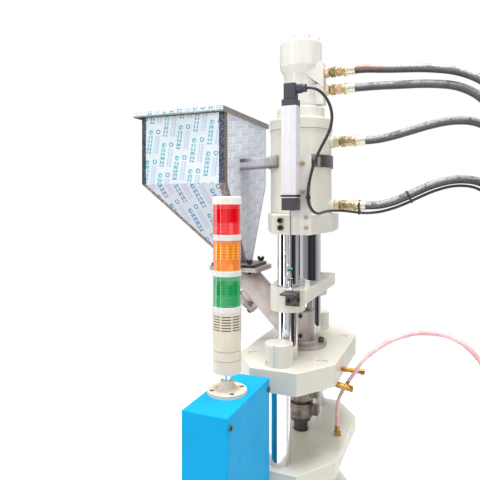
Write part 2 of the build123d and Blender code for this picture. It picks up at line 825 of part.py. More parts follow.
# Hydraulic motor: cast body with its flange, neck, cone, upper port pad and lower port block
motor_bottom = adapter_top + spigot_height
neck_bottom = motor_bottom + motor_flange_thick
cone_bottom = neck_bottom + motor_neck_height
shell_bottom = cone_bottom + motor_cone_height
ring_bottom = shell_bottom + motor_shell_height
cover_bottom = ring_bottom + motor_ring_height
motor_top = cover_bottom + motor_cover_height
motor_ports = [Plane((motor_pad_x, 0, rise(height)), x_dir=(0, 1, 0), z_dir=(1, 0, 0)) for height in motor_port_rises]
upper_port, lower_port = (rise(height) for height in motor_port_rises)
pad_x, pad_y = motor_pad_root
with BuildPart() as port_pad:
    with BuildSketch(Plane.XY.offset(upper_port - motor_pad_reach[1])):
        Polygon(
            (0, -pad_y), (pad_x, -pad_y), (motor_pad_x, -motor_pad_half_y), (motor_pad_x, motor_pad_half_y),
            (pad_x, pad_y), (0, pad_y), align=None,
        )
    extrude(amount=sum(motor_pad_reach))
    with BuildSketch(Plane.XZ) as side_view:
        Polygon(
            (pad_x - 4, upper_port - 2), (motor_pad_x - 4, upper_port + motor_pad_reach[0]),
            (motor_pad_x, upper_port + motor_pad_reach[0] - 4), (motor_pad_x, upper_port - motor_pad_reach[1]),
            align=None,
        )
    extrude(side_view.sketch, amount=pad_y, both=True, mode=Mode.INTERSECT)
with BuildPart() as motor_body:
    turned(motor_flange_radius, motor_bottom, neck_bottom)
    turned(motor_neck_radius, neck_bottom, cone_bottom)
    with BuildSketch(Plane.XY.offset(cone_bottom)):
        Circle(motor_neck_radius)
    with BuildSketch(Plane.XY.offset(shell_bottom)):
        Circle(motor_radius)
    loft()
    turned(motor_radius, shell_bottom, ring_bottom)
    add(port_pad.part)
    with BuildSketch(Plane.XY.offset(motor_bottom)):
        with Locations((motor_pad_x / 2, (motor_block_y[0] + motor_block_y[1]) / 2)):
            Rectangle(motor_pad_x, motor_block_y[1] - motor_block_y[0])
    extrude(amount=lower_port + motor_block_above - motor_bottom)
    bored(motor_shaft_radius + shaft_clearance, motor_bottom, ring_bottom)
    for port in motor_ports:
        round_bar(port, port_hole_radius, -port_depth, 0, Mode.SUBTRACT)
save(motor_body, "motor_body")

with BuildPart() as motor_gear_ring:
    turned(motor_radius, ring_bottom, cover_bottom)
    bored(motor_shaft_radius + shaft_clearance, ring_bottom, cover_bottom)
save(motor_gear_ring, "motor_gear_ring")

with BuildPart() as motor_end_cover:
    turned(motor_radius, cover_bottom, motor_top)
    fillet(motor_end_cover.edges().group_by(Axis.Z)[-1], motor_cover_round)
    bored(motor_shaft_radius + shaft_clearance, cover_bottom, cover_bottom + 8)
save(motor_end_cover, "motor_end_cover")

# Motor bolts: hexagon heads with washers on the end cover
with BuildPart() as motor_bolts:
    for angle in ring_angle(0, motor_bolt_count):
        bolt_spot = (motor_bolt_circle * cos(radians(angle)), motor_bolt_circle * sin(radians(angle)), motor_top)
        round_bar(Plane(bolt_spot), motor_bolt_head_radius + 1.2, 0, 1.5)
        hex_bar(Plane(bolt_spot), motor_bolt_head_radius, 1.5, 1.5 + motor_bolt_head_height)
save(motor_bolts, "motor_bolts")

# Motor shaft: it reaches down through the cylinder into the screw's socket
with BuildPart() as motor_shaft:
    turned(motor_shaft_radius, rise(motor_shaft_bottom_rise), cover_bottom + 6)
save(motor_shaft, "motor_shaft")

# Valve manifold on the cabinet's right side
manifold_ports = [
    Plane(
        (cabinet_half_x + manifold_thick, (k - 1.5) * manifold_port_pitch, manifold_port_height),
        x_dir=(0, 1, 0),
        z_dir=(1, 0, 0),
    )
    for k in range(4)
]
with BuildPart() as valve_manifold:
    with Locations((cabinet_half_x, 0, manifold_rise)):
        Box(
            manifold_thick, 2 * manifold_half_y, manifold_height, align=(Align.MIN, Align.CENTER, Align.MIN)
        )
    fillet(valve_manifold.edges(), 2)
    for port in manifold_ports:
        round_bar(port, port_hole_radius, -port_depth, 0, Mode.SUBTRACT)
save(valve_manifold, "valve_manifold")

# Hose fittings: adapter, swivel nut and crimped ferrule at each of the eight hose ends
boss_ports = [port.offset(port_boss_length) for port in port_planes]
with BuildPart() as hose_fittings:
    for port in motor_ports + boss_ports + manifold_ports:
        hex_bar(port, fitting_nut_radius, 0, fitting_steps[0])
        round_bar(port, fitting_neck_radius, *fitting_steps)
        hex_bar(port, fitting_swivel_radius, fitting_steps[1], fitting_length)
        round_bar(port, ferrule_radius, fitting_length, fitting_length + ferrule_length)
save(hose_fittings, "hose_fittings")

# Band clamp round the cylinder's rear, open at the front, with its bolt lugs at the front right
band_bottom = rise(band_rise)
with BuildPart() as band_clamp:
    turned(cylinder_radius + band_thick, band_bottom, band_bottom + band_height)
    lug_plane = Plane.XY.offset(band_bottom).rotated((0, 0, lug_angle))
    with Locations(lug_plane):
        with Locations((cylinder_radius + lug_size[0] / 2 - 2, 0, 0)):
            Box(*lug_size, band_height * 0.7, align=stood)
        with Locations((cylinder_radius + lug_size[0] / 2, 0, 0)):
            Box(lug_size[0] + 6, lug_slit, band_height, align=stood, mode=Mode.SUBTRACT)
    bored(cylinder_radius, band_bottom, band_bottom + band_height)
    with BuildSketch(Plane.XY.offset(band_bottom)):
        with Locations((sum(band_gap_x) / 2, band_gap_y - cylinder_radius / 2)):
            Rectangle(band_gap_x[1] - band_gap_x[0], cylinder_radius)
    extrude(amount=band_height, mode=Mode.SUBTRACT)
save(band_clamp, "band_clamp")

# Hopper stay: an angle bar from the band to the hopper's right wall
stay_top = band_bottom + band_height - stay_top_drop
(wall_x, wall_y), (tip_x, tip_y) = stay_front
with BuildPart() as hopper_stay:
    with BuildSketch(Plane.XY.offset(stay_top - stay_thick)):
        Polygon((wall_x, wall_y), (tip_x, tip_y), (tip_x, stay_back_y), (wall_x, stay_back_y), align=None)
        Circle(cylinder_radius + band_thick, mode=Mode.SUBTRACT)
    extrude(amount=stay_thick)
    with BuildSketch(Plane.XY.offset(band_bottom - stay_lip)):
        Polygon(
            (wall_x, wall_y), (tip_x, tip_y), (tip_x, tip_y + stay_thick), (wall_x, wall_y + stay_thick), align=None
        )
        Circle(cylinder_radius + band_thick, mode=Mode.SUBTRACT)
    extrude(amount=stay_top - band_bottom + stay_lip)
save(hopper_stay, "hopper_stay")

# Hopper: folded sheet with a turned rim, and a bottom plate on two rails that leave the gate's channel
gate_bottom = feed_flange_top + gate_gap / 2
plate_bottom = feed_flange_top + gate_thick + gate_gap
hopper_plate_top = plate_bottom + hopper_plate_thick
hopper_top = rise(hopper_top_rise)
bend = rise(hopper_bend_rise)
rail_width = (hopper_plate_size[0] - gate_width) / 2 - gate_gap


def edges_between(span_x, span_y, inset):
    """The corners of an oblong between two x and two y, drawn in by the inset."""
    left, right = span_x[0] + inset, span_x[1] - inset
    front, back = span_y[0] + inset, span_y[1] - inset
    return [(left, front), (right, front), (right, back), (left, back)]


def hopper_shell(inset):
    """The hopper's box and cone as one solid, drawn in by the inset."""
    box_outline = edges_between((hopper_left_x, hopper_right_x), hopper_y, inset)
    outlet_outline = edges_between(hopper_outlet_x, hopper_outlet_y, inset)
    with BuildPart() as shell:
        with BuildSketch(Plane.XY.offset(bend)):
            Polygon(*box_outline, align=None)
        extrude(amount=hopper_top - bend)
        with BuildSketch(Plane.XY.offset(bend)):
            Polygon(*box_outline, align=None)
        with BuildSketch(Plane.XY.offset(hopper_plate_top)):
            Polygon(*outlet_outline, align=None)
        loft()
    return shell.part


hopper_outside = hopper_shell(0)
hopper_inside = hopper_shell(hopper_wall)
rim_x = (hopper_left_x - hopper_rim, hopper_right_x + hopper_hem)
rim_y = (hopper_y[0] - hopper_rim, hopper_y[1] + hopper_rim)
with BuildPart() as hopper:
    with BuildSketch(Plane.XY.offset(rise(hopper_lip_rise))):
        Polygon(*edges_between(rim_x, rim_y, 0), align=None)
    extrude(amount=hopper_top_rise - hopper_lip_rise)
    with BuildSketch(Plane.XY.offset(rise(hopper_lip_rise))):
        Polygon(*edges_between((rim_x[0], hopper_right_x + hopper_wall), rim_y, hopper_wall), align=None)
    extrude(amount=hopper_top_rise - hopper_lip_rise - hopper_wall, mode=Mode.SUBTRACT)
    add(hopper_outside)
    with BuildSketch(Plane.XY.offset(plate_bottom)):
        with Locations((feed_flange_x, 0)):
            RectangleRounded(*hopper_plate_size, hopper_plate_corner)
    extrude(amount=hopper_plate_thick)
    with BuildSketch(Plane.XY.offset(feed_flange_top)):
        for side in (-1, 1):
            with Locations((feed_flange_x + side * (hopper_plate_size[0] - rail_width) / 2, 0)):
                Rectangle(rail_width, hopper_plate_size[1] - 2 * hopper_plate_corner)
    extrude(amount=plate_bottom - feed_flange_top)
    add(hopper_inside, mode=Mode.SUBTRACT)
    with BuildSketch(Plane.XY.offset(feed_flange_top)):
        Polygon(*edges_between(hopper_outlet_x, hopper_outlet_y, hopper_wall), align=None)
    extrude(amount=hopper_plate_top - feed_flange_top, mode=Mode.SUBTRACT)
    bored(stud_radius + stud_clearance, feed_flange_top, hopper_plate_top, stud_places)
save(hopper, "hopper")

# Slide gate with its knob
with BuildPart() as slide_gate:
    with BuildSketch(Plane.XY.offset(gate_bottom)):
        with Locations((feed_flange_x, (gate_back - gate_front) / 2)):
            Rectangle(gate_width, gate_back + gate_front)
    extrude(amount=gate_thick)
    with Locations((feed_flange_x, -gate_front + gate_knob_radius + 2, gate_bottom + gate_thick)):
        Cylinder(gate_knob_radius, gate_knob_height, align=stood)
save(slide_gate, "slide_gate")

# Wing nuts on their studs, through the hopper's plate and the casting's flange
with BuildPart() as wing_nuts:
    for x, y in stud_places:
        with Locations((x, y, rise(feed_flange_rise) - stud_drop)):
            Cylinder(stud_radius, hopper_plate_top + wing_height - rise(feed_flange_rise) + stud_drop, align=stood)
        with Locations((x, y, hopper_plate_top)):
            Cylinder(wing_nut_radius, wing_height * 0.6, align=stood)
        for side in (-1, 1):
            with Locations((x + side * wing_span / 3, y, hopper_plate_top + wing_height * 0.35)):
                Box(wing_span / 3, wing_thick, wing_height, align=stood)
save(wing_nuts, "wing_nuts")

# Stroke sensor: profile body, end caps, connector, plate, rod and bracket
sensor_back = -lower_head_front - sensor_plate_thick
sensor_middle_x = sensor_left + sensor_width / 2
sensor_middle_y = sensor_back - sensor_depth / 2
sensor_bottom = rise(sensor_body_rises[0])
sensor_top = rise(sensor_body_rises[1])
rod_travel_top = sensor_bottom + sensor_rod_inside + stroke_up + 5
with BuildPart() as sensor_body:
    with BuildSketch(Plane.XY.offset(sensor_bottom)):
        with Locations((sensor_middle_x, sensor_middle_y)):
            RectangleRounded(sensor_width, sensor_depth, sensor_corner)
    extrude(amount=sensor_top - sensor_bottom)
    with Locations((sensor_rod_x, sensor_rod_y, sensor_bottom)):
        Cylinder(sensor_rod_radius + 2, rod_travel_top - sensor_bottom, align=stood, mode=Mode.SUBTRACT)
save(sensor_body, "sensor_body")

with BuildPart() as sensor_end_caps:
    for bottom, height in ((sensor_bottom - sensor_foot_height, sensor_foot_height), (sensor_top, sensor_cap_height)):
        with BuildSketch(Plane.XY.offset(bottom)):
            with Locations((sensor_middle_x, sensor_middle_y)):
                RectangleRounded(sensor_width - 2 * cap_inset, sensor_depth - 2 * cap_inset, sensor_corner)
        extrude(amount=height)
    foot_hole = (sensor_rod_x, sensor_rod_y, sensor_bottom - sensor_foot_height)
    with Locations(foot_hole):
        Cylinder(sensor_rod_radius + 0.3, sensor_foot_height, align=stood, mode=Mode.SUBTRACT)
save(sensor_end_caps, "sensor_end_caps")

connector_bottom = sensor_top + sensor_cap_height
connector_height = connector_rises[1] - connector_rises[0]
gland_plane = Plane(
    (sensor_middle_x + connector_width / 2, sensor_middle_y, rise(connector_gland_rise)), z_dir=(1, 0, 0)
)
with BuildPart() as sensor_connector:
    with Locations((sensor_middle_x, sensor_middle_y, connector_bottom)):
        Box(connector_width, connector_depth, connector_height, align=stood)
    fillet(sensor_connector.edges(), 2)
    hex_bar(gland_plane, connector_gland_radius, 0, gland_hex_length)
    round_bar(gland_plane, connector_gland_radius - 1.8, gland_hex_length, connector_gland_length)
save(sensor_connector, "sensor_connector")

with BuildPart() as sensor_plate:
    with Locations(((sensor_plate_x[0] + sensor_plate_x[1]) / 2, sensor_back, rise(sensor_plate_rises[0]))):
        Box(
            sensor_plate_x[1] - sensor_plate_x[0],
            sensor_plate_thick,
            sensor_plate_rises[1] - sensor_plate_rises[0],
            align=(Align.CENTER, Align.MIN, Align.MIN),
        )
    fillet(sensor_plate.edges().filter_by(Axis.Y), 3)
    for screw_plane in sensor_screw_planes:
        drill(screw_plane, plate_screw[2], sensor_plate_thick)
save(sensor_plate, "sensor_plate")

rod_foot = Plane((sensor_rod_x, sensor_rod_y, rise(sensor_rod_bottom_rise)))
bracket_top = crosshead_bottom + bracket_drop + bracket_height
bracket_seat = Plane((sensor_rod_x, sensor_rod_y, bracket_top))
with BuildPart() as sensor_rod:
    round_bar(rod_foot, sensor_rod_radius, 0, sensor_bottom + sensor_rod_inside - rise(sensor_rod_bottom_rise))
    for start in rod_nut_starts:
        hex_bar(rod_foot, rod_nut_radius, start, start + rod_nut_height)
    round_bar(rod_foot, *rod_sleeve, rod_nut_starts[0])
    with Locations((sensor_rod_x, sensor_rod_y, bracket_top + rod_nut_radius - 1)):
        Sphere(rod_nut_radius)
    round_bar(bracket_seat, rod_sleeve[0], 0, rod_seat_height)
    round_bar(bracket_seat, 2 * rod_nut_radius, -rod_nut_radius, 0, Mode.SUBTRACT)
save(sensor_rod, "sensor_rod")

with BuildPart() as sensor_bracket:
    with Locations((bracket_x[0], -crosshead_front, bracket_top)):
        Box(
            bracket_x[1] - bracket_x[0],
            bracket_front - crosshead_front,
            bracket_thick,
            align=(Align.MIN, Align.MAX, Align.MAX),
        )
        Box(bracket_x[1] - bracket_x[0], bracket_thick, bracket_height, align=(Align.MIN, Align.MAX, Align.MAX))
    drill(bracket_screw_plane, plate_screw[2], bracket_thick)
save(sensor_bracket, "sensor_bracket")

# Stack light
tower_plane = Plane((tower_x, tower_y, head_top))
tower_boss_bottom = tower_foot_thick - box_top_drop
with BuildPart() as tower_foot:
    round_bar(tower_plane, tower_foot_radius, -box_top_drop, tower_boss_bottom)
    fillet(tower_foot.edges().group_by(Axis.Z)[-1], 1.5)
    for step in range(2):
        for radius, height in zip(tower_boss_radii[step : step + 2], tower_boss_heights[step : step + 2]):
            with BuildSketch(tower_plane.offset(tower_boss_bottom + height)):
                Circle(radius)
        loft()
    with Locations(tower_plane.offset(-box_top_drop)):
        with PolarLocations(tower_foot_hole_circle, 4, start_angle=tower_foot_turn):
            Cylinder(tower_foot_hole_radius, tower_foot_thick, align=stood, mode=Mode.SUBTRACT)
    round_bar(tower_plane, tower_pole_radius, 0, tower_boss_heights[-1] + 1, Mode.SUBTRACT)
save(tower_foot, "tower_foot")

with BuildPart() as tower_pole:
    round_bar(tower_plane, tower_pole_radius, 0, tower_base_rise)
save(tower_pole, "tower_pole")

with BuildPart() as tower_base:
    round_bar(tower_plane, tower_base_radius, tower_base_rise, tower_base_rise + tower_base_height)
    for seam in tower_seams:
        with BuildSketch(tower_plane.offset(tower_base_rise + seam)):
            Circle(tower_base_radius)
            Circle(tower_base_radius - tower_seam, mode=Mode.SUBTRACT)
        extrude(amount=tower_seam, mode=Mode.SUBTRACT)
    for row in range(slot_rows):
        with Locations(tower_plane.offset(tower_base_rise + slot_first + row * slot_pitch)):
            with PolarLocations(tower_base_radius, 8, start_angle=slot_turn):
                Box(*slot_size, mode=Mode.SUBTRACT)
save(tower_base, "tower_base")

tower_step = tower_ring_height + tower_lens_height
stack_bottom = tower_base_rise + tower_base_height
with BuildPart() as tower_rings:
    for k in range(3):
        bottom = stack_bottom + k * tower_step
        round_bar(tower_plane, tower_ring_radius, bottom, bottom + tower_ring_height)
    fillet(tower_rings.edges().filter_by(GeomType.CIRCLE), 0.8)
save(tower_rings, "tower_rings")

for k, colour in enumerate(("green", "amber", "red")):
    with BuildPart() as lens:
        bottom = stack_bottom + k * tower_step + tower_ring_height
        round_bar(tower_plane, tower_lens_radius, bottom, bottom + tower_lens_height)
        round_bar(
            tower_plane, tower_lens_radius - tower_lens_wall, bottom, bottom + tower_lens_height, Mode.SUBTRACT
        )
    save(lens, f"tower_lens_{colour}")

with BuildPart() as tower_cap:
    bottom = stack_bottom + 3 * tower_step
    round_bar(tower_plane, tower_ring_radius, bottom, bottom + tower_cap_height)
    fillet(tower_cap.edges().group_by(Axis.Z)[-1], tower_cap_round)
save(tower_cap, "tower_cap")

# Control box: folded sheet, open at the bottom
box_middle = ((box_x[0] + box_x[1]) / 2, (box_y[0] + box_y[1]) / 2)
cover_screw_planes = [
    Plane((box_x[1], y, height), z_dir=(1, 0, 0))
    for y in (box_y[0] + box_screw_inset, box_y[1] - box_screw_inset)
    for height in (base_plate_thick + box_screw_drop, box_top - box_screw_drop)
]
with BuildPart() as control_box:
    with Locations((*box_middle, base_plate_thick)):
        Box(box_x[1] - box_x[0], box_y[1] - box_y[0], box_top - base_plate_thick, align=stood)
    fillet(control_box.edges().filter_by(Axis.Z), box_edge_round)
    fillet(control_box.faces().sort_by(Axis.Z)[-1].outer_wire().edges(), box_edge_round)
    with Locations((*box_middle, base_plate_thick)):
        Box(
            box_x[1] - box_x[0] - 2 * box_sheet,
            box_y[1] - box_y[0] - 2 * box_sheet,
            box_top - base_plate_thick - box_sheet,
            align=stood,
            mode=Mode.SUBTRACT,
        )
    for screw_plane in cover_screw_planes:
        drill(screw_plane, cover_screw[2], box_sheet)
save(control_box, "control_box")

# Socket screws that the fixed pieces share
with BuildPart() as socket_screws:
    for screw_plane in flange_bolt_planes:
        screw_in(screw_plane, flange_bolt)
    for screw_plane in side_screw_planes:
        screw_in(screw_plane, side_screw)
    for screw_plane in head_screw_planes:
        screw_in(screw_plane, head_screw)
    for screw_plane in sensor_screw_planes:
        screw_in(screw_plane, plate_screw)
    for screw_plane in cover_screw_planes:
        screw_in(screw_plane, cover_screw)
    screw_in(drain_pivot.offset(drain_reach + drain_cover_thick), pivot_bolt)
save(socket_screws, "socket_screws")


def cord_tube(name, points, radius):
    """A cord along straight runs joined by arcs as large as its runs allow."""
    route = [Vector(x, y, rise(height)) for x, y, height in points]
    runs = [(after - before).length for before, after in zip(route, route[1:])]
    turns = [
        (corner - before).get_angle(after - corner)
        for before, corner, after in zip(route, route[1:], route[2:])
    ]
    radii = [0.45 * min(runs[k : k + 2]) / tan(radians(turn) / 2) for k, turn in enumerate(turns)]
    with BuildPart() as tube:
        with BuildLine() as line:
            FilletPolyline(*route, radius=radii)
        path = line.wire()
        with BuildSketch(Plane(path @ 0, z_dir=path % 0)) as section:
            Circle(radius)
        sweep(section.sketch, path=path)
    full_volume = pi * radius**2 * path.length
    print(
        f"{name}: length {path.length:.0f} mm, smallest radius {min(radii):.0f} mm,",
        f"runs {min(runs):.0f} to {max(runs):.0f} mm, volume {tube.part.volume / full_volume:.4f} of the full one",
    )
    save(tube, name)


# Pressure hoses: two from the motor, then two from the cylinder, down to the manifold
fitting_end = fitting_length + ferrule_length
motor_hose_x = motor_pad_x + fitting_end
boss_hose_x = cylinder_radius + port_boss_length + fitting_end
manifold_hose_x = cabinet_half_x + manifold_thick + fitting_end
manifold_hose_rise = manifold_port_height - head_top
hose_routes = (
    (
        (motor_hose_x, 0, motor_port_rises[0]), (149, 0, motor_port_rises[0]), (185, -1, 628), (225, -3, 624),
        (282, -8, 618), (345, -20, 602), (398, -42, 565), (427, -60, 498), (438, -75, 400), (441, -78, 270),
        (441, -79, 100),
        (439, -78, -70), (437, -79, -230), (434, -78, -370), (428, -78, -480), (394, -78, -544),
        (335, -78, manifold_hose_rise), (manifold_hose_x, -1.5 * manifold_port_pitch, manifold_hose_rise),
    ),
    (
        (motor_hose_x, 0, motor_port_rises[1]), (170, 0, motor_port_rises[1]), (225, -1, 589), (282, -4, 586),
        (345, -10, 574), (396, -18, 535), (424, -24, 465), (434, -26, 370), (437, -26, 230), (437, -27, 70),
        (435, -26, -90), (434, -27, -240), (432, -26, -375), (427, -26, -480), (393, -26, -543),
        (335, -26, manifold_hose_rise), (manifold_hose_x, -0.5 * manifold_port_pitch, manifold_hose_rise),
    ),
    (
        (boss_hose_x, 0, upper_port_rise), (172, 0, upper_port_rise), (205, 1, 478), (240, 2, 487), (284, 4, 499),
        (330, 8, 507), (378, 14, 502), (420, 20, 472), (441, 24, 421), (445, 26, 340), (444, 27, 200), (443, 26, 80),
        (440, 26, -45), (437, 27, -200), (434, 26, -350), (428, 26, -480), (394, 26, -544),
        (335, 26, manifold_hose_rise), (manifold_hose_x, 0.5 * manifold_port_pitch, manifold_hose_rise),
    ),
    (
        (boss_hose_x, 0, lower_port_rise), (172, 0, lower_port_rise), (198, 1, 331), (225, 2, 341), (256, 6, 356.5),
        (290, 14, 372.5), (335, 26, 384), (386, 45, 379), (426, 63, 345), (444, 74, 288), (448, 78, 200),
        (449, 79, 65), (445, 79, -90), (440, 78, -230), (435, 78, -365), (428, 78, -480), (394, 78, -544),
        (335, 78, manifold_hose_rise), (manifold_hose_x, 1.5 * manifold_port_pitch, manifold_hose_rise),
    ),
)
for number, route in enumerate(hose_routes, 1):
    cord_tube(f"pressure_hose_{number}", route, hose_radius)

# Sensor cable
gland_end_x = sensor_middle_x + connector_width / 2 + connector_gland_length
cable_start = (gland_end_x, sensor_middle_y, connector_gland_rise)
cable_route = (
    cable_start, (70, -160, connector_gland_rise), (85, -157, 556), (98, -152, 540), (105, -148, 522),
    (107.5, -147, 503), (104, -147, 482), (95, -147, 462), (82, -148, 439), (71, -149, 414), (63, -150, 385),
    (58, -150.5, 355), (58.5, -150, 335), (66, -149.5, 317), (72, -132, 309.5), (75, -110, 310.5), (78, -80, 314),
    (86, -50, 315), (102, -26, 315), (124, -12, 312), (150, -6, 309), (178, -2, 311.5), (202, 0, 317.5),
    (230, 1, 328), (262, 5, 344), (295, 13, 359.5), (336, 25, 370.5), (380, 43, 365), (411, 58, 333), (428, 71, 272),
    (434, 78, 188), (434, 79, 110), (432, 82, 30), (429, 87, -55), (424, 94, -140), (417, 103, -225),
    (406, 113, -305), (390, 121, -385), (364, 127, -460), (320, bulkhead_y, -526),
    (265, bulkhead_y, manifold_hose_rise),
    (cabinet_half_x + manifold_thick, bulkhead_y, manifold_hose_rise),
)
cord_tube("sensor_cable", cable_route, cable_radius)

# Water hose
water_route = (
    (elbow_x, hose_foot_y, hose_foot_rise), (elbow_x, hose_foot_y, -150), (90, -16, -114), (114, -40, -66),
    (138, -75, -28), (153, -86, 0), (170, -84, 19), (190, -70, 34), (213, -60, 48), (239, -50, 58), (260, -40, 62),
    (283, -32, 63), (330, -27, 59), (376, -42, 28), (404, -70, -30), (417, -100, -110), (420, -122, -215),
    (414, -130, -320), (398, -131, -420), (356, -bulkhead_y, -515), (285, -bulkhead_y, manifold_hose_rise),
    (cabinet_half_x + bulkhead_length, -bulkhead_y, manifold_hose_rise),
)
cord_tube("water_hose", water_route, water_radius)

# Water nipples: one on the head plate's side, an elbow under it, one on the mould plate and the bulkhead
nipple_plane = Plane((plate_half_x, nipple_y, rise(nipple_height)), z_dir=(1, 0, 0))
elbow_facing = (cos(radians(elbow_tilt)), 0, -sin(radians(elbow_tilt)))
elbow_plane = Plane((elbow_x, nipple_y, rise(elbow_height)), z_dir=elbow_facing)
riser_plane = Plane((elbow_x, nipple_y, head_bottom))
foot_plane = Plane((elbow_x, hose_foot_y, mould_plate_top))
bulkhead_plane = Plane((cabinet_half_x, -bulkhead_y, manifold_port_height), z_dir=(1, 0, 0))
bore_radius, bore_depth = nipple_bore
with BuildPart() as water_nipples:
    hex_bar(nipple_plane, nipple_radii[0], 0, nipple_steps[0])
    round_bar(nipple_plane, nipple_radii[1], *nipple_steps)
    round_bar(nipple_plane, bore_radius, nipple_steps[1] - bore_depth, nipple_steps[1], Mode.SUBTRACT)
    round_bar(riser_plane, elbow_pipe_radius, elbow_height + head_plate_thick - elbow_pipe_radius, 0)
    round_bar(elbow_plane, elbow_pipe_radius, -elbow_pipe_radius, elbow_radius)
    hex_bar(elbow_plane, elbow_radius, elbow_radius, elbow_length)
    round_bar(elbow_plane, bore_radius, elbow_length - bore_depth, elbow_length, Mode.SUBTRACT)
    hex_bar(foot_plane, foot_nut[0], 0, foot_nut[1])
    round_bar(foot_plane, foot_pipe_radius, foot_nut[1], rise(hose_foot_rise) - mould_plate_top)
    hex_bar(bulkhead_plane, bulkhead_nut[0], 0, bulkhead_nut[1])
    round_bar(bulkhead_plane, elbow_pipe_radius, bulkhead_nut[1], bulkhead_length)
save(water_nipples, "water_nipples")


def tie_band(plane, circles):
    """A flat tie drawn round the circles (x, y, radius) in the plane, joined to the open part."""
    for grow, mode in ((tie_thick + tie_clearance, Mode.ADD), (tie_clearance, Mode.SUBTRACT)):
        with BuildSketch(plane) as band:
            for x, y, radius in circles:
                with Locations((x, y)):
                    Circle(radius + grow)
            make_hull()
        extrude(band.sketch, amount=tie_width / 2, both=True, mode=mode)


# Cable gland on the cabinet, and the ties that hold the sensor cable
gland_root = Plane((cabinet_half_x, bulkhead_y, manifold_port_height), z_dir=(1, 0, 0))
ferrule_tie = Plane((137, 0, rise(lower_port_rise)), x_dir=(0, 1, 0), z_dir=(1, 0, 0))
hose_tie = Plane((240, 4, rise(348.5)), z_dir=(31, 4, 15.5))
cable_in_hose_tie = hose_tie.to_local_coords(Vector(245, 3, rise(335.7)))
plate_tie = Plane((58.2, -150.2, rise(343)))
with BuildPart() as cable_fittings:
    hex_bar(gland_root, cable_gland_nut[0], 0, cable_gland_nut[1])
    round_bar(gland_root, cable_gland_radius, cable_gland_nut[1], cable_gland_cap[1])
    hex_bar(gland_root, *cable_gland_cap, manifold_thick)
    tie_band(ferrule_tie, ((0, 0, ferrule_radius), (-9, -15.5, cable_radius)))
    tie_band(hose_tie, ((0, 0, hose_radius), (cable_in_hose_tie.X, cable_in_hose_tie.Y, cable_radius)))
    tie_band(plate_tie, ((0, 0, cable_radius),))
    with Locations((plate_tie.origin.X, sensor_back, plate_tie.origin.Z)):
        Box(8, tie_foot_depth, 8, align=(Align.CENTER, Align.MAX, Align.CENTER))
save(cable_fittings, "cable_fittings")
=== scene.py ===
"""Looks of the bench-top injection moulding machine: finishes, hoses, film, lenses and small fittings."""

from math import cos, pi, radians, sin, tau

import bmesh
import bpy
from mathutils import Matrix, Vector


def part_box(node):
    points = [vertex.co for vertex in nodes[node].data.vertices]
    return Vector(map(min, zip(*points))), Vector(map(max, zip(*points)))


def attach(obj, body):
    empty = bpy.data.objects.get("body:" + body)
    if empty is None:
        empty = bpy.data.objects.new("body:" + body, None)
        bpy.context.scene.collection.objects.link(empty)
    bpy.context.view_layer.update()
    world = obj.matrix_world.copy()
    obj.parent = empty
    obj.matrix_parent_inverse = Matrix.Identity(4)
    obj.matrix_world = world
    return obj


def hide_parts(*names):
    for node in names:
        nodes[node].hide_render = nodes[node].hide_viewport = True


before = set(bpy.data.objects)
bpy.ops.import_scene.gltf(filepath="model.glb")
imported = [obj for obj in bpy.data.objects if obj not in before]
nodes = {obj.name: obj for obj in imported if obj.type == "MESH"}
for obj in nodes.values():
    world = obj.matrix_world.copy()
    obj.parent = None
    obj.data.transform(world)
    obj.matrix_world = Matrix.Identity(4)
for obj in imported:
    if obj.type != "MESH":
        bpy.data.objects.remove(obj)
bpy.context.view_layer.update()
head_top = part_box("head_plate")[1][2]
manifold_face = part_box("valve_manifold")[1][0]
up_axis, right_axis = Vector((0, 0, 1)), Vector((1, 0, 0))

# The hoses' upper ports, in millimetres: how far out each face is, and its height above the head plate.
motor_face, cylinder_face = 57, 80
upper_ports = ((motor_face, 633), (motor_face, 592), (cylinder_face, 472), (cylinder_face, 326))
fitting_length = 70

# The manifold's ports, in metres.
manifold_pitch, manifold_level = 0.052, 0.180


def rise(x, y, height):
    """A point given in millimetres, its height from the head plate up, in the machine's own metres."""
    return Vector((x / 1000, y / 1000, head_top + height / 1000))


def srgb(red, green, blue):
    """A colour as it looks on a screen, 0 to 255, as the linear colour that a shader takes."""
    linear = [c / 255 / 12.92 if c <= 10 else ((c / 255 + 0.055) / 1.055) ** 2.4 for c in (red, green, blue)]
    return (*linear, 1)


def plug(tree, socket, value):
    """Gives the socket the value, or links it where the value is another node's output."""
    if isinstance(value, bpy.types.NodeSocket):
        tree.links.new(value, socket)
    else:
        socket.default_value = value


def add_node(tree, kind, inputs=None, **settings):
    """A new node in the tree, with its settings made and its inputs given or linked."""
    node = tree.nodes.new(kind)
    for name, value in settings.items():
        setattr(node, name, value)
    for name, value in (inputs or {}).items():
        plug(tree, node.inputs[name], value)
    return node


def middle_of(low, high):
    """The middle of a box, seen from above."""
    return (low[0] + high[0]) / 2, (low[1] + high[1]) / 2


def dimmed(colour, share):
    """The colour at this share of its brightness."""
    return tuple(min(1, part * share) for part in colour[:3]) + (1,)


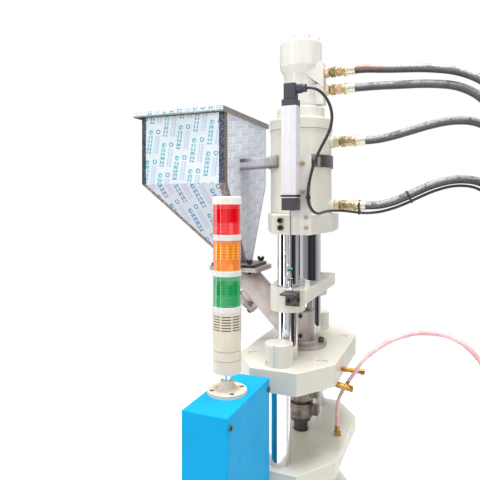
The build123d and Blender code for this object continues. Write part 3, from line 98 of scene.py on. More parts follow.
class Finish:
    """A material that is built up node by node round one Principled shader."""

    def __init__(self, name, **values):
        self.material = bpy.data.materials.new(name)
        self.material.use_nodes = True
        self.tree = self.material.node_tree
        self.shader = self.tree.nodes["Principled BSDF"]
        self.set(**values)
        self.place = self.add("ShaderNodeTexCoord").outputs["Object"]
        self.normal = None

    def set(self, **values):
        for name, value in values.items():
            plug(self.tree, self.shader.inputs[name.replace("_", " ")], value)

    def add(self, kind, inputs=None, **settings):
        return add_node(self.tree, kind, inputs, **settings)

    def math(self, operation, *values):
        """The result of one Math node."""
        return self.add("ShaderNodeMath", dict(enumerate(values)), operation=operation).outputs[0]

    def product(self, first, *others):
        for other in others:
            first = self.math("MULTIPLY", first, other)
        return first

    def plus(self, one, other):
        return self.math("ADD", one, other)

    def minus(self, one, other):
        return self.math("SUBTRACT", one, other)

    def over(self, value, limit):
        """1 where the value is over the limit, and 0 elsewhere."""
        return self.math("GREATER_THAN", value, limit)

    def under(self, value, limit):
        """1 where the value is under the limit, and 0 elsewhere."""
        return self.math("LESS_THAN", value, limit)

    def apart(self, value, middle):
        """How far the value is from the middle, either way."""
        return self.math("ABSOLUTE", self.minus(value, middle))

    def length(self, one, other):
        """The long side of a right triangle on these two."""
        return self.math("SQRT", self.plus(self.math("POWER", one, 2), self.math("POWER", other, 2)))

    def noise(self, scale, detail=3, rough=0.5, stretch=None, source=None):
        """Noise in the object's metres, stretched along its axes where asked."""
        vector = source or self.place
        if stretch:
            vector = self.add("ShaderNodeMapping", {"Vector": vector, "Scale": stretch}).outputs[0]
        inputs = {"Vector": vector, "Scale": scale, "Detail": detail, "Roughness": rough}
        return self.add("ShaderNodeTexNoise", inputs).outputs["Fac"]

    def range(self, value, low, high, to_low=0.0, to_high=1.0):
        inputs = {"Value": value, "From Min": low, "From Max": high, "To Min": to_low, "To Max": to_high}
        return self.add("ShaderNodeMapRange", inputs).outputs[0]

    def mix(self, factor, one, other):
        """The colour one where the factor is 0, and the other where it is 1."""
        return self.add("ShaderNodeMix", {0: factor, 6: one, 7: other}, data_type="RGBA").outputs[2]

    def bump(self, height, strength, distance):
        """Bump on top of any that the finish has so far."""
        inputs = {"Height": height, "Strength": strength, "Distance": distance}
        if self.normal:
            inputs["Normal"] = self.normal
        self.normal = self.add("ShaderNodeBump", inputs).outputs[0]
        self.set(Normal=self.normal)

    def axes(self):
        """The object's x, y and z, in metres."""
        return self.add("ShaderNodeSeparateXYZ", {"Vector": self.place}).outputs


def enamel(name, colour, dirt, rough=0.32, gloss=0.5, coat=0.12):
    """Sprayed enamel: faint orange peel, cloudy colour, and a little dust."""
    paint = Finish(name, Coat_Weight=coat, Coat_Roughness=0.12, Specular_IOR_Level=gloss)
    clouds = paint.range(paint.noise(9, 4), 0.35, 0.75)
    fine = paint.range(paint.noise(60, 5, 0.6), 0.55, 0.8)
    shade = paint.mix(paint.product(clouds, 0.35), colour, dirt)
    shade = paint.mix(paint.product(fine, 0.18), shade, dirt)
    paint.set(Base_Color=shade)
    paint.set(Roughness=paint.range(paint.noise(25, 3), 0.3, 0.7, rough - 0.06, rough + 0.1))
    paint.bump(paint.noise(420, 2), 0.10, 0.0006)
    paint.bump(paint.noise(14, 2), 0.12, 0.003)
    return paint.material


def turned_steel(name, colour, rough):
    """Metal with fine rings from the lathe, along Z."""
    steel = Finish(name, Metallic=1.0)
    rings = steel.noise(1, 2, 0.5, stretch=(6, 6, 900))
    stains = steel.range(steel.noise(22, 4), 0.4, 0.75)
    steel.set(Base_Color=steel.mix(steel.product(stains, 0.5), colour, dimmed(colour, 0.6)))
    steel.set(Roughness=steel.range(rings, 0.3, 0.7, rough * 0.8, rough * 1.3))
    steel.bump(rings, 0.15, 0.0004)
    return steel.material


def oiled_chrome(finish):
    """Where a ground and chromed bar has oil on it, and its colour."""
    film = finish.range(finish.noise(12, 3, stretch=(1, 1, 0.25)), 0.45, 0.7)
    return film, finish.mix(film, srgb(238, 238, 243), srgb(214, 212, 218))


def hard_chrome(name):
    """Ground and chromed bar, with faint oil marks."""
    chrome = Finish(name, Metallic=1.0)
    film, metal = oiled_chrome(chrome)
    chrome.set(Base_Color=metal)
    chrome.set(Roughness=chrome.range(film, 0, 1, 0.045, 0.10))
    chrome.bump(chrome.noise(1, 1, stretch=(4, 4, 1500)), 0.03, 0.0002)
    return chrome.material


def capped_bar(name):
    """Chromed bar whose end, above the head plate, is painted over with its cap."""
    bar = Finish(name)
    painted = bar.over(bar.axes()[2], head_top)
    metal = oiled_chrome(bar)[1]
    paint = bar.mix(bar.range(bar.noise(9, 4), 0.35, 0.75, 0, 0.35), srgb(222, 219, 206), srgb(200, 196, 182))
    bar.set(Base_Color=bar.mix(painted, metal, paint))
    bar.set(Metallic=bar.minus(1, painted))
    bar.set(Roughness=bar.range(painted, 0, 1, 0.07, 0.34))
    bar.bump(bar.noise(420, 2), 0.06, 0.0004)
    return bar.material


def cast_aluminium(name):
    """Sand-cast and tumbled aluminium: matt, slightly pink, with cloudy stains."""
    cast = Finish(name, Metallic=0.72)
    stains = cast.range(cast.noise(16, 5, 0.6), 0.4, 0.72)
    grain = cast.noise(700, 3, 0.7)
    shade = cast.mix(stains, srgb(206, 196, 190), srgb(158, 146, 141))
    cast.set(Base_Color=cast.mix(cast.range(grain, 0.55, 0.8), shade, srgb(222, 214, 208)))
    cast.set(Roughness=cast.range(cast.noise(40, 3), 0.3, 0.7, 0.40, 0.56))
    cast.bump(grain, 0.28, 0.0005)
    cast.bump(cast.noise(45, 3), 0.22, 0.0015)
    return cast.material


def moulded(name, colour, rough, edge=None, slot_shade=None):
    """Moulded plastic, finely grained. The last argument, where given, is the middle, the radius and the two
    heights of slots, painted dark inside as shade.
    """
    plastic = Finish(name)
    clouds = plastic.range(plastic.noise(30, 3), 0.35, 0.75)
    shade = plastic.mix(plastic.product(clouds, 0.5), colour, edge or dimmed(colour, 0.86))
    if slot_shade:
        middle, radius, bottom, top = slot_shade
        x, y, z = plastic.axes()
        out = plastic.length(plastic.minus(x, middle[0]), plastic.minus(y, middle[1]))
        inner = plastic.under(out, radius)
        level = plastic.product(plastic.over(z, bottom), plastic.under(z, top))
        # Painted shade: dark brown inside the slots, within the radius and between the two heights.
        shade = plastic.mix(plastic.product(inner, level, 0.85), shade, srgb(84, 66, 50))
    plastic.set(Base_Color=shade)
    plastic.set(Roughness=plastic.range(plastic.noise(80, 3), 0.3, 0.7, rough - 0.05, rough + 0.08))
    plastic.bump(plastic.noise(1600, 2), 0.12, 0.0002)
    return plastic.material


def black_oxide(name):
    """Blackened steel, worn to grey on its edges."""
    black = Finish(name, Metallic=0.2, Roughness=0.5, Specular_IOR_Level=0.2)
    pointed = black.add("ShaderNodeNewGeometry").outputs["Pointiness"]
    edges = black.range(pointed, 0.52, 0.60)
    worn = black.product(edges, black.range(black.noise(90, 4), 0.35, 0.6))
    black.set(Base_Color=black.mix(worn, srgb(30, 29, 31), srgb(104, 100, 96)))
    black.bump(black.noise(500, 3), 0.15, 0.0002)
    return black.material


def plated(name, colour, tint, rough):
    """Yellow zinc or plain plate: two tones that run into each other, as dipped."""
    plate = Finish(name, Metallic=1.0)
    run = plate.range(plate.noise(55, 4, 0.55), 0.36, 0.66)
    plate.set(Base_Color=plate.mix(run, colour, tint))
    plate.set(Roughness=plate.range(plate.noise(120, 3), 0.3, 0.7, rough - 0.05, rough + 0.1))
    plate.bump(plate.noise(900, 2), 0.12, 0.0002)
    return plate.material


def brushed_sheet(name, colour, rough):
    """Rolled stainless strip, with grain along it and heat stains."""
    sheet = Finish(name, Metallic=1.0)
    grain = sheet.noise(1, 4, 0.6, stretch=(30, 30, 900))
    stains = sheet.range(sheet.noise(26, 4), 0.42, 0.75)
    sheet.set(Base_Color=sheet.mix(sheet.product(stains, 0.8), colour, dimmed(colour, 0.55)))
    sheet.set(Roughness=sheet.range(grain, 0.3, 0.7, rough - 0.08, rough + 0.12))
    sheet.bump(grain, 0.15, 0.0003)
    return sheet.material


def stay_sheet(name):
    """Bent stainless bar, with a painted highlight along its top, a painted brown shadow along its lower
    edge, and a darker patch at its upper left end.
    """
    sheet = Finish(name, Metallic=0.75)
    x, y, z = sheet.axes()
    low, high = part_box("hopper_stay")
    up = sheet.range(z, low[2], high[2])
    grain = sheet.noise(1, 4, 0.6, stretch=(900, 900, 40))
    shade = sheet.mix(sheet.range(grain, 0.35, 0.65), srgb(206, 202, 210), srgb(238, 234, 240))
    # Painted shadow: brown along the lower edge.
    painted_shadow_under = sheet.range(up, 0.10, 0.34, 1, 0)
    shade = sheet.mix(sheet.product(painted_shadow_under, 0.85), shade, srgb(126, 108, 98))
    # Painted highlight: near white along the top.
    shade = sheet.mix(sheet.range(up, 0.82, 0.93), shade, srgb(250, 249, 250))
    # Darker near the left end, on its upper part.
    upper_left_dark = sheet.product(sheet.range(x, low[0] + 0.012, low[0] + 0.045, 1, 0), sheet.range(up, 0.62, 0.74))
    shade = sheet.mix(sheet.product(upper_left_dark, 0.8), shade, srgb(52, 50, 60))
    sheet.set(Base_Color=shade)
    sheet.set(Roughness=sheet.range(grain, 0.3, 0.7, 0.24, 0.42))
    sheet.bump(grain, 0.12, 0.0003)
    return sheet.material


def film_marks(film, across, up, turn, pitch, repeat, step, tall):
    """The film's plain marks in slanted columns: blobs, blotchy bars, rings and small faint bars.

    turn is the slant of the columns, pitch their spacing, repeat the spacing of the marks along them,
    step the shift from one column to the next, as a share of repeat, and tall the height of a mark.
    """
    u = film.plus(film.product(across, cos(turn)), film.product(up, sin(turn)))
    v = film.minus(film.product(up, cos(turn)), film.product(across, sin(turn)))
    column = film.math("FLOOR", film.math("DIVIDE", u, pitch))
    u = film.math("FRACT", film.math("DIVIDE", u, pitch))
    v = film.math("FRACT", film.plus(film.math("DIVIDE", v, repeat), film.product(column, step)))
    strong_line, ring_line, faint_lines = 0.28, 0.77, (0.68, 0.86)

    def inside(value, middle, half):
        return film.under(film.apart(value, middle), half)

    def away(middle_u, middle_v):
        across_it = film.product(film.minus(u, middle_u), pitch)
        return film.length(across_it, film.product(film.minus(v, middle_v), repeat))

    half = tall / 2 / pitch
    blob = film.product(film.under(away(strong_line, 0.88), tall * 0.52),
                        film.over(away(strong_line + half * 0.3, 0.87), tall * 0.2))
    rungs = film.under(film.math("FRACT", film.product(v, 7.5)), 0.78)
    hollow = film.product(inside(u, strong_line, half * 0.34), film.over(film.noise(170, 2), 0.47))
    bars = film.product(inside(u, strong_line, half), inside(v, 0.47, 0.30), rungs, film.minus(1, hollow))
    ring = film.under(film.apart(away(ring_line, 0.93), tall * 0.40), tall * 0.14)
    dashes = film.under(film.math("FRACT", film.product(v, 17)), 0.7)
    lines = film.plus(inside(u, faint_lines[0], half * 0.36), inside(u, faint_lines[1], half * 0.52))
    faint = film.product(lines, dashes, inside(v, 0.50, 0.30))
    strong = film.math("MINIMUM", film.plus(blob, bars), 1)
    return strong, ring, faint, film.range(v, 0.2, 0.9)


def hopper_film(name):
    """Steel sheet under its marked protective film, which stops short of the welded corners."""
    film = Finish(name)
    x, y, z = film.axes()
    rim, bend, outlet = head_top + 0.537, head_top + 0.377, head_top + 0.1854
    fall = film.range(z, bend, outlet)

    def wall_edge(at_bend, shift):
        """Where a wall ends: upright above the bend, and moved in by the shift at the outlet."""
        return film.plus(at_bend, film.product(fall, shift))

    left, right = wall_edge(-0.363, 0.185), wall_edge(-0.142, 0.006)
    front, rear = wall_edge(-0.122, 0.101), wall_edge(0.144, -0.114)
    outlet_x = -0.157
    normal = film.add("ShaderNodeNewGeometry").outputs["Normal"]
    nx, ny, nz = film.add("ShaderNodeSeparateXYZ", {"Vector": normal}).outputs
    side = film.over(film.math("ABSOLUTE", nx), film.math("ABSOLUTE", ny))
    middle_y = film.product(film.plus(front, rear), 0.5)
    from_middle = film.product(ny, film.minus(y, middle_y))
    outside = film.over(film.plus(film.product(nx, film.minus(x, outlet_x)), from_middle), 0)

    bare = 0.0115
    clear_left = film.over(x, film.plus(left, bare))
    on_front = film.product(clear_left, film.under(x, film.minus(right, bare * 1.2)))
    clear_front = film.over(y, film.plus(front, bare * 1.4))
    on_side = film.product(clear_front, film.under(y, film.minus(rear, 0.004)))
    covered = film.add("ShaderNodeMix", {0: side, 2: on_front, 3: on_side}).outputs[0]
    above = film.over(z, outlet + 0.004)
    facing = film.minus(1, side)
    on_rim = film.product(film.over(z, rim + 0.003), facing)
    upright = film.under(film.math("ABSOLUTE", nz), 0.9)
    on_wall = film.product(covered, above, film.under(z, rim))
    area = film.product(film.math("MAXIMUM", on_wall, on_rim), outside, upright)

    below = film.under(z, bend)
    on_box = film.product(facing, film.minus(1, below))
    walls = (
        (film_marks(film, x, z, radians(-8), 0.0400, 0.072, 0.37, 0.0112),
         on_box, srgb(44, 150, 186), srgb(30, 184, 190), 1.0),
        (film_marks(film, x, z, radians(20), 0.0410, 0.074, 0.37, 0.0115),
         film.product(facing, below), srgb(36, 98, 162), srgb(40, 140, 180), 1.0),
        (film_marks(film, z, y, radians(-9), 0.0180, 0.082, 0.45, 0.0072),
         side, srgb(84, 128, 190), srgb(70, 140, 204), 0.55),
    )
    shade = film.mix(film.range(film.noise(7, 3), 0.35, 0.7), srgb(224, 233, 236), srgb(208, 218, 226))
    shade = film.mix(film.product(below, 0.55), shade, srgb(192, 190, 198))
    shade = film.mix(film.product(side, 0.8), shade, srgb(238, 240, 248))
    uneven = film.range(film.noise(420, 4, 0.7), 0.30, 0.50)
    pale_ink, ring_ink = srgb(126, 146, 206), srgb(38, 140, 176)
    for (strong, ring, faint, along), face, ink_low, ink_high, weight in walls:
        ink = film.mix(along, ink_low, ink_high)
        for mask, colour, amount in ((faint, pale_ink, 0.55), (ring, ring_ink, 0.95), (strong, ink, 0.96)):
            shade = film.mix(film.product(mask, face, uneven, amount * weight), shade, colour)

    mottle = film.range(film.noise(260, 5, 0.75), 0.44, 0.62)
    plain = film.mix(mottle, srgb(98, 88, 80), srgb(176, 164, 150))
    navy = film.mix(mottle, srgb(30, 36, 52), srgb(104, 112, 128))
    steel = film.mix(on_box, plain, navy)
    rim_grey = film.mix(mottle, srgb(120, 110, 102), srgb(188, 180, 172))
    steel = film.mix(film.over(z, rim), steel, rim_grey)
    steel = film.mix(film.over(z, outlet - 0.001), srgb(60, 56, 54), steel)
    inner = film.mix(film.range(film.noise(20, 3), 0.4, 0.7), srgb(190, 188, 186), srgb(150, 146, 144))
    steel = film.mix(outside, inner, steel)
    film.set(Base_Color=film.mix(area, steel, shade))
    film.set(Metallic=film.product(film.minus(1, area), 0.55))
    film.set(Roughness=film.range(area, 0, 1, 0.38, 0.30))
    wrinkles = film.noise(11, 3, 0.5, stretch=(1, 1, 3.5))
    film.bump(film.product(wrinkles, area), 0.30, 0.004)
    film.bump(film.noise(600, 2), 0.08, 0.0003)
    return film.material


def tower_lens(name, colour, deep, lamp_level, axis, base, height):
    """Clear coloured plastic: fine ribs round its foot and head, and the lamps behind its clear middle."""
    lens = Finish(name, Roughness=0.07, IOR=1.49, Transmission_Weight=0.08)
    # The weak emission in the lens's own colour is a painted glow, the same on all three lenses.
    lens.set(Coat_Weight=0.8, Coat_Roughness=0.04, Emission_Color=colour, Emission_Strength=0.06)
    x, y, z = lens.axes()
    up = lens.range(z, base, base + height)
    ribs = lens.range(lens.math("FRACT", lens.product(z, 420)), 0.35, 0.65)
    foot = lens.range(up, 0.36, 0.42, 1, 0)
    head = lens.range(up, 0.84, 0.88)
    ribbed = lens.product(ribs, lens.plus(foot, head))
    pale = tuple(0.62 * c + 0.38 for c in colour[:3]) + (1,)
    shade = lens.mix(lens.range(lens.noise(36, 3), 0.42, 0.7, 0, 0.45), colour, deep)
    shade = lens.mix(lens.product(ribbed, 0.20), shade, pale)
    angle = lens.math("ARCTAN2", lens.minus(y, axis[1]), lens.minus(x, axis[0]))
    columns, rows = 14, 11
    across = lens.minus(lens.math("FRACT", lens.product(angle, columns / tau)), 0.5)
    along = lens.minus(lens.math("FRACT", lens.product(up, rows)), 0.5)
    away = lens.length(across, along)
    middle = lens.minus(1, lens.plus(foot, head))
    lamps = lens.product(lens.range(away, 0.18, 0.42, 1, 0), middle)
    glow = tuple(0.45 * c + 0.55 * w for c, w in zip(colour[:3], (1, 0.92, 0.3))) + (1,)
    shade = lens.mix(lens.product(lamps, lamp_level), shade, glow)
    lens.set(Base_Color=shade)
    lens.bump(ribbed, 0.25, 0.0006)
    return lens.material


def lamp_core(name, colour):
    """Bright inner reflector of a lens, which keeps the colour lively."""
    core = Finish(name, Roughness=0.3)
    rungs = core.range(core.math("FRACT", core.product(core.axes()[2], 330)), 0.4, 0.6)
    pale = tuple(0.5 * c + 0.5 for c in colour[:3]) + (1,)
    core.set(Base_Color=core.mix(core.product(rungs, 0.6), colour, pale))
    core.bump(rungs, 0.4, 0.001)
    return core.material


def fitting_plate(name):
    """Plated hose ends: each piece has its own tint, from gold by the port to cream on the ferrule."""
    plate = Finish(name, Metallic=0.82)
    x, y, z = plate.axes()
    on_motor = plate.over(z, head_top + 0.55)
    port_face = plate.range(on_motor, 0, 1, cylinder_face / 1000, motor_face / 1000)
    port_face = plate.plus(port_face, plate.range(z, 0.40, 0.41, manifold_face - cylinder_face / 1000, 0))
    along = plate.minus(x, port_face)
    tone = srgb(232, 214, 178)
    steps = (
        (0.0108, srgb(138, 96, 48)), (0.0142, srgb(146, 140, 84)), (0.0272, srgb(216, 178, 138)),
        (0.0432, srgb(196, 178, 116)), (0.0500, srgb(240, 234, 220)),
    )
    for start, colour in steps:
        tone = plate.mix(plate.over(along, start), tone, colour)
    run = plate.range(plate.noise(140, 4, 0.6), 0.40, 0.62)
    tone = plate.mix(plate.product(run, 0.45), tone, srgb(238, 224, 190))
    glint = plate.range(plate.noise(75, 3, 0.5), 0.56, 0.72)
    plate.set(Base_Color=plate.mix(plate.product(glint, 0.5), tone, srgb(190, 120, 60)))
    plate.set(Roughness=plate.range(plate.noise(120, 3), 0.3, 0.7, 0.24, 0.42))
    plate.bump(plate.noise(900, 2), 0.12, 0.0002)
    return plate.material


def hose_cover(name, shade, mark_side, smear=False, seed=0.0):
    """Black hose cover: wrapped bump, dusty sheen, paler streaks round its upper side that are part dust and
    part painted light from above, and a worn pale line at this share of the way round.
    """
    cover = Finish(name)
    unrolled = cover.add("ShaderNodeTexCoord").outputs["UV"]
    around = cover.add("ShaderNodeSeparateXYZ", {"Vector": unrolled}).outputs[1]
    dust = cover.range(cover.noise(45, 5, 0.65), 0.36, 0.7)
    near = cover.apart(around, mark_side)
    # Paler streaks on the upper side, round the printed line: part dust, part painted light from above.
    dust_and_light_on_top = cover.range(near, 0.10, 0.24, 1, 0)
    body = cover.mix(cover.product(dust, 0.5), shade, srgb(96, 95, 100))
    streak = cover.range(cover.noise(1, 3, 0.6, stretch=(14, 260, 260)), 0.38, 0.62, 0.45, 0.9)
    body = cover.mix(cover.product(streak, dust_and_light_on_top), body, srgb(134, 132, 137))
    band = cover.range(near, 0.085, 0.125, 1, 0)
    specks = cover.over(cover.noise(300, 3, 0.8), 0.46)
    breaks = cover.over(cover.noise(34 + seed, 2), 0.42)
    body = cover.mix(cover.product(band, specks, breaks, 0.7), body, srgb(200, 199, 199))
    if smear:
        near_end = cover.range(cover.axes()[0], 0.150, 0.215, 1, 0)
        patch = cover.product(near_end, cover.range(cover.noise(60, 4), 0.34, 0.46))
        patch = cover.product(patch, cover.range(near, 0.12, 0.20, 1, 0))
        body = cover.mix(patch, body, srgb(150, 100, 70))
    cover.set(Base_Color=body)
    cover.set(Roughness=cover.range(dust, 0, 1, 0.34, 0.52))
    cover.bump(cover.noise(420, 3), 0.25, 0.0004)
    cover.bump(cover.noise(1, 2, source=unrolled, stretch=(900, 6, 1)), 0.15, 0.0005)
    return cover.material


def soft_tube(name, colour, pale):
    """Thin-walled soft plastic tube that lets a little light in."""
    tube = Finish(name, Roughness=0.28, Subsurface_Weight=0.35, Subsurface_Scale=0.004, Coat_Weight=0.3)
    tube.set(Base_Color=tube.mix(tube.range(tube.noise(26, 3), 0.35, 0.65), colour, pale))
    tube.bump(tube.noise(300, 2), 0.1, 0.0003)
    return tube.material


def sensor_skin(name):
    """Anodised profile, drawn lengthwise: pale with duller streaks."""
    skin = Finish(name, Metallic=0.35)
    grain = skin.noise(1, 3, 0.6, stretch=(700, 700, 8))
    dull = skin.range(grain, 0.3, 0.7, 0, 0.5)
    skin.set(Base_Color=skin.mix(dull, srgb(240, 240, 244), srgb(206, 203, 212)))
    skin.set(Roughness=skin.range(grain, 0.3, 0.7, 0.26, 0.4))
    skin.bump(grain, 0.08, 0.0002)
    return skin.material


cream = enamel("cream_enamel", srgb(222, 219, 206), srgb(200, 196, 182))
pale_cream = enamel("pale_cream_enamel", srgb(234, 231, 224), srgb(216, 212, 202), 0.28)
blue = enamel("blue_enamel", srgb(0, 166, 224), srgb(0, 138, 190), 0.42, 0.12, 0.0)
dark_grey = enamel("grey_enamel", srgb(74, 78, 84), srgb(58, 60, 64), 0.4)
chrome = hard_chrome("hard_chrome")
steel = turned_steel("turned_steel", srgb(176, 174, 172), 0.28)
dark_steel = turned_steel("oiled_steel", srgb(96, 92, 90), 0.34)
casting = cast_aluminium("cast_aluminium")
oxide = black_oxide("black_oxide")
stay_steel = stay_sheet("stainless_stay")
band_steel = brushed_sheet("clamp_band_steel", srgb(158, 146, 140), 0.36)
brass = plated("worn_brass", srgb(216, 172, 98), srgb(150, 104, 52), 0.26)
screw_cream = plated("screw_cream", srgb(232, 222, 196), srgb(206, 184, 140), 0.34)
screw_brass = plated("screw_brass", srgb(222, 196, 146), srgb(196, 160, 104), 0.3)
mica = plated("heated_sheet", srgb(168, 160, 150), srgb(120, 104, 92), 0.42)
tower_beige = {"colour": srgb(224, 214, 194), "rough": 0.42, "edge": srgb(210, 198, 178)}
beige = moulded("beige_plastic", **tower_beige)
base_low, base_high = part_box("tower_base")
tower_middle = middle_of(base_low, base_high)
# The tower base's slots, whose insides are painted dark as shade.
slot_shade_zone = (tower_middle, (base_high[0] - base_low[0]) / 2 - 0.0005, base_low[2] + 0.012, base_high[2] - 0.003)
slot_shaded_beige = moulded("slot_shaded_beige_plastic", **tower_beige, slot_shade=slot_shade_zone)
cap_white = moulded("cap_plastic", srgb(240, 236, 226), 0.36)
silver_ring = moulded("silver_ring", srgb(226, 226, 222), 0.26)
sensor_black = moulded("sensor_black", srgb(72, 66, 78), 0.46)
connector_black = moulded("connector_black", srgb(62, 65, 76), 0.5)
cable_black = moulded("cable_black", srgb(50, 48, 52), 0.22)
seam_brown = moulded("seam_brown", srgb(118, 96, 76), 0.6)
wiper_black = moulded("wiper_rubber", srgb(34, 32, 34), 0.55)

finishes = {
    cream: ("head_plate", "fixed_mould_plate", "moving_plate", "table_plate", "crosshead", "lower_head",
            "tie_bar_caps", "injection_cylinder", "cylinder_cap", "clamp_cylinder"),
    pale_cream: ("motor_adapter", "motor_body", "motor_gear_ring", "motor_end_cover", "motor_bolts",
                 "sensor_plate"),
    blue: ("control_box", "base_cabinet"),
    dark_grey: ("base_plate", "valve_manifold"),
    chrome: ("guide_rods", "piston_rod", "clamp_ram", "sensor_rod", "tower_pole"),
    capped_bar("tie_bar_finish"): ("tie_bars",),
    steel: ("tie_bar_nuts", "motor_shaft", "screw", "slide_gate"),
    dark_steel: ("barrel", "nozzle"),
    casting: ("feed_casting", "drain_cover"),
    oxide: ("socket_screws", "wing_nuts", "sensor_bracket"),
    stay_steel: ("hopper_stay",),
    band_steel: ("band_clamp",),
    brass: ("water_nipples",),
    mica: ("heater_bands",),
    hopper_film("hopper_film"): ("hopper",),
    sensor_skin("sensor_skin"): ("sensor_body",),
    sensor_black: ("sensor_end_caps",),
    connector_black: ("sensor_connector",),
    cable_black: ("cable_fittings",),
    beige: ("tower_foot",),
    slot_shaded_beige: ("tower_base",),
    silver_ring: ("tower_rings",),
    cap_white: ("tower_cap",),
}
for material, names in finishes.items():
    for name in names:
        mesh = nodes[name].data
        mesh.materials.clear()
        mesh.materials.append(material)


def in_scene(name, data):
    """A new object in the scene, on this mesh, lamp or camera."""
    thing = bpy.data.objects.new(name, data)
    bpy.context.scene.collection.objects.link(thing)
    return thing


def finish_piece(name, mesh, material, body="frame", smooth=40):
    """A named piece from a mesh in place. A material of None leaves the mesh with its own."""
    piece = in_scene(name, mesh)
    if material:
        mesh.materials.clear()
        mesh.materials.append(material)
    if smooth:
        mesh.polygons.foreach_set("use_smooth", [True] * len(mesh.polygons))
        mesh.set_sharp_from_angle(angle=radians(smooth))
    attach(piece, body)
    return piece


def turned_to(axis):
    """The shortest turn that lays Z along the axis."""
    return up_axis.rotation_difference(axis).to_matrix().to_4x4()


def turned_mesh(name, profile, place, axis=up_axis, segments=64):
    """A closed solid of revolution from (radius, distance along the axis) pairs in metres."""
    shape = bmesh.new()
    rows = []
    for radius, distance in profile:
        if radius < 1e-6:
            rows.append([shape.verts.new((0, 0, distance))])
        else:
            angles = [tau * k / segments for k in range(segments)]
            rows.append([shape.verts.new((radius * cos(a), radius * sin(a), distance)) for a in angles])
    for low, high in zip(rows, rows[1:]):
        for k in range(segments):
            after = k + 1
            corners = [low[k % len(low)], low[after % len(low)], high[after % len(high)], high[k % len(high)]]
            corners = list(dict.fromkeys(corners))
            if len(corners) > 2:
                shape.faces.new(corners)
    bmesh.ops.recalc_face_normals(shape, faces=shape.faces)
    shape.transform(Matrix.Translation(place) @ turned_to(axis))
    mesh = bpy.data.meshes.new(name)
    shape.to_mesh(mesh)
    shape.free()
    return mesh


def cord(name, points, diameter, material, replaced):
    """A hose or cable as a smooth spline on its route's own points, given in millimetres."""
    curve = bpy.data.curves.new(name, "CURVE")
    curve.dimensions = "3D"
    spline = curve.splines.new("NURBS")
    spline.points.add(len(points) - 1)
    for point, place in zip(spline.points, points):
        point.co = (*rise(*place), 1)
    spline.order_u = 3
    spline.use_endpoint_u = True
    spline.resolution_u = 12
    curve.bevel_depth = diameter / 2
    curve.bevel_resolution = 6
    curve.use_fill_caps = True
    curve.materials.append(material)
    piece = in_scene(name, curve)
    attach(piece, "frame")
    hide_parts(replaced)
    rise(*points[0])
    return piece


hose_routes = (
    (
        (149, 0, 633), (185, -1, 628), (225, -3, 624), (282, -8, 618), (345, -20, 602), (398, -42, 565),
        (427, -60, 498), (438, -75, 400), (441, -78, 270), (441, -79, 100), (439, -78, -70),
        (437, -79, -230), (434, -78, -370), (428, -78, -480), (394, -78, -544), (335, -78, -580),
        (275, -78, -580),
    ),
    (
        (170, 0, 592), (225, -1, 589), (282, -4, 586), (345, -10, 574), (396, -18, 535), (424, -24, 465),
        (434, -26, 370), (437, -26, 230), (437, -27, 70), (435, -26, -90), (434, -27, -240),
        (432, -26, -375), (427, -26, -480), (393, -26, -543), (335, -26, -580), (275, -26, -580),
    ),
    (
        (172, 0, 472), (205, 1, 478), (240, 2, 487), (284, 4, 499), (330, 8, 507), (378, 14, 502),
        (420, 20, 472), (441, 24, 421), (445, 26, 340), (444, 27, 200), (443, 26, 80), (440, 26, -45),
        (437, 27, -200), (434, 26, -350), (428, 26, -480), (394, 26, -544), (335, 26, -580),
        (275, 26, -580),
    ),
    (
        (172, 0, 326), (198, 1, 331), (225, 2, 341), (256, 6, 356.5), (290, 14, 372.5), (335, 26, 384),
        (386, 45, 379), (426, 63, 345), (444, 74, 288), (448, 78, 200), (449, 79, 65), (445, 79, -90),
        (440, 78, -230), (435, 78, -365), (428, 78, -480), (394, 78, -544), (335, 78, -580),
        (275, 78, -580),
    ),
)
hose_lengths = (1.540, 1.499, 1.436, 1.332)
for number, ((face, height), route, length) in enumerate(zip(upper_ports, hose_routes, hose_lengths), 1):
    points = ((face + fitting_length, 0, height), *route)
    cover = hose_cover(f"hose_cover_{number}", srgb(50, 49, 54), 0.32, smear=number == 1, seed=number * 3)
    cord(f"hose_{number}", points, 0.018, cover, f"pressure_hose_{number}")

cable_route = (
    (57.75, -160, 563.5), (70, -160, 563.5), (85, -157, 556), (98, -152, 540), (105, -148, 522),
    (107.5, -147, 503), (104, -147, 482), (95, -147, 462), (82, -148, 439), (71, -149, 414),
    (63, -150, 385), (58, -150.5, 355), (58.5, -150, 335), (66, -149.5, 317), (72, -132, 309.5),
    (75, -110, 310.5), (78, -80, 314), (86, -50, 315), (102, -26, 315), (124, -12, 312), (150, -6, 309),
    (178, -2, 311.5), (202, 0, 317.5), (230, 1, 328), (262, 5, 344), (295, 13, 359.5), (336, 25, 370.5),
    (380, 43, 365), (411, 58, 333), (428, 71, 272), (434, 78, 188), (434, 79, 110), (432, 82, 30),
    (429, 87, -55), (424, 94, -140), (417, 103, -225), (406, 113, -305), (390, 121, -385),
    (364, 127, -460), (320, 130, -526), (265, 130, -580), (205, 130, -580),
)
cord("sensor_lead", cable_route, 0.006, cable_black, "sensor_cable")

water_route = (
    (86, 0, -178), (86, 0, -150), (90, -16, -114), (114, -40, -66), (138, -75, -28), (153, -86, 0),
    (170, -84, 19), (190, -70, 34), (213, -60, 48), (239, -50, 58), (260, -40, 62), (283, -32, 63),
    (330, -27, 59), (376, -42, 28), (404, -70, -30), (417, -100, -110), (420, -122, -215),
    (414, -130, -320), (398, -131, -420), (356, -130, -515), (285, -130, -580), (200, -130, -580),
)
pink = soft_tube("pink_tube", srgb(226, 170, 172), srgb(240, 206, 204))
cord("water_tube", water_route, 0.009, pink, "water_hose")


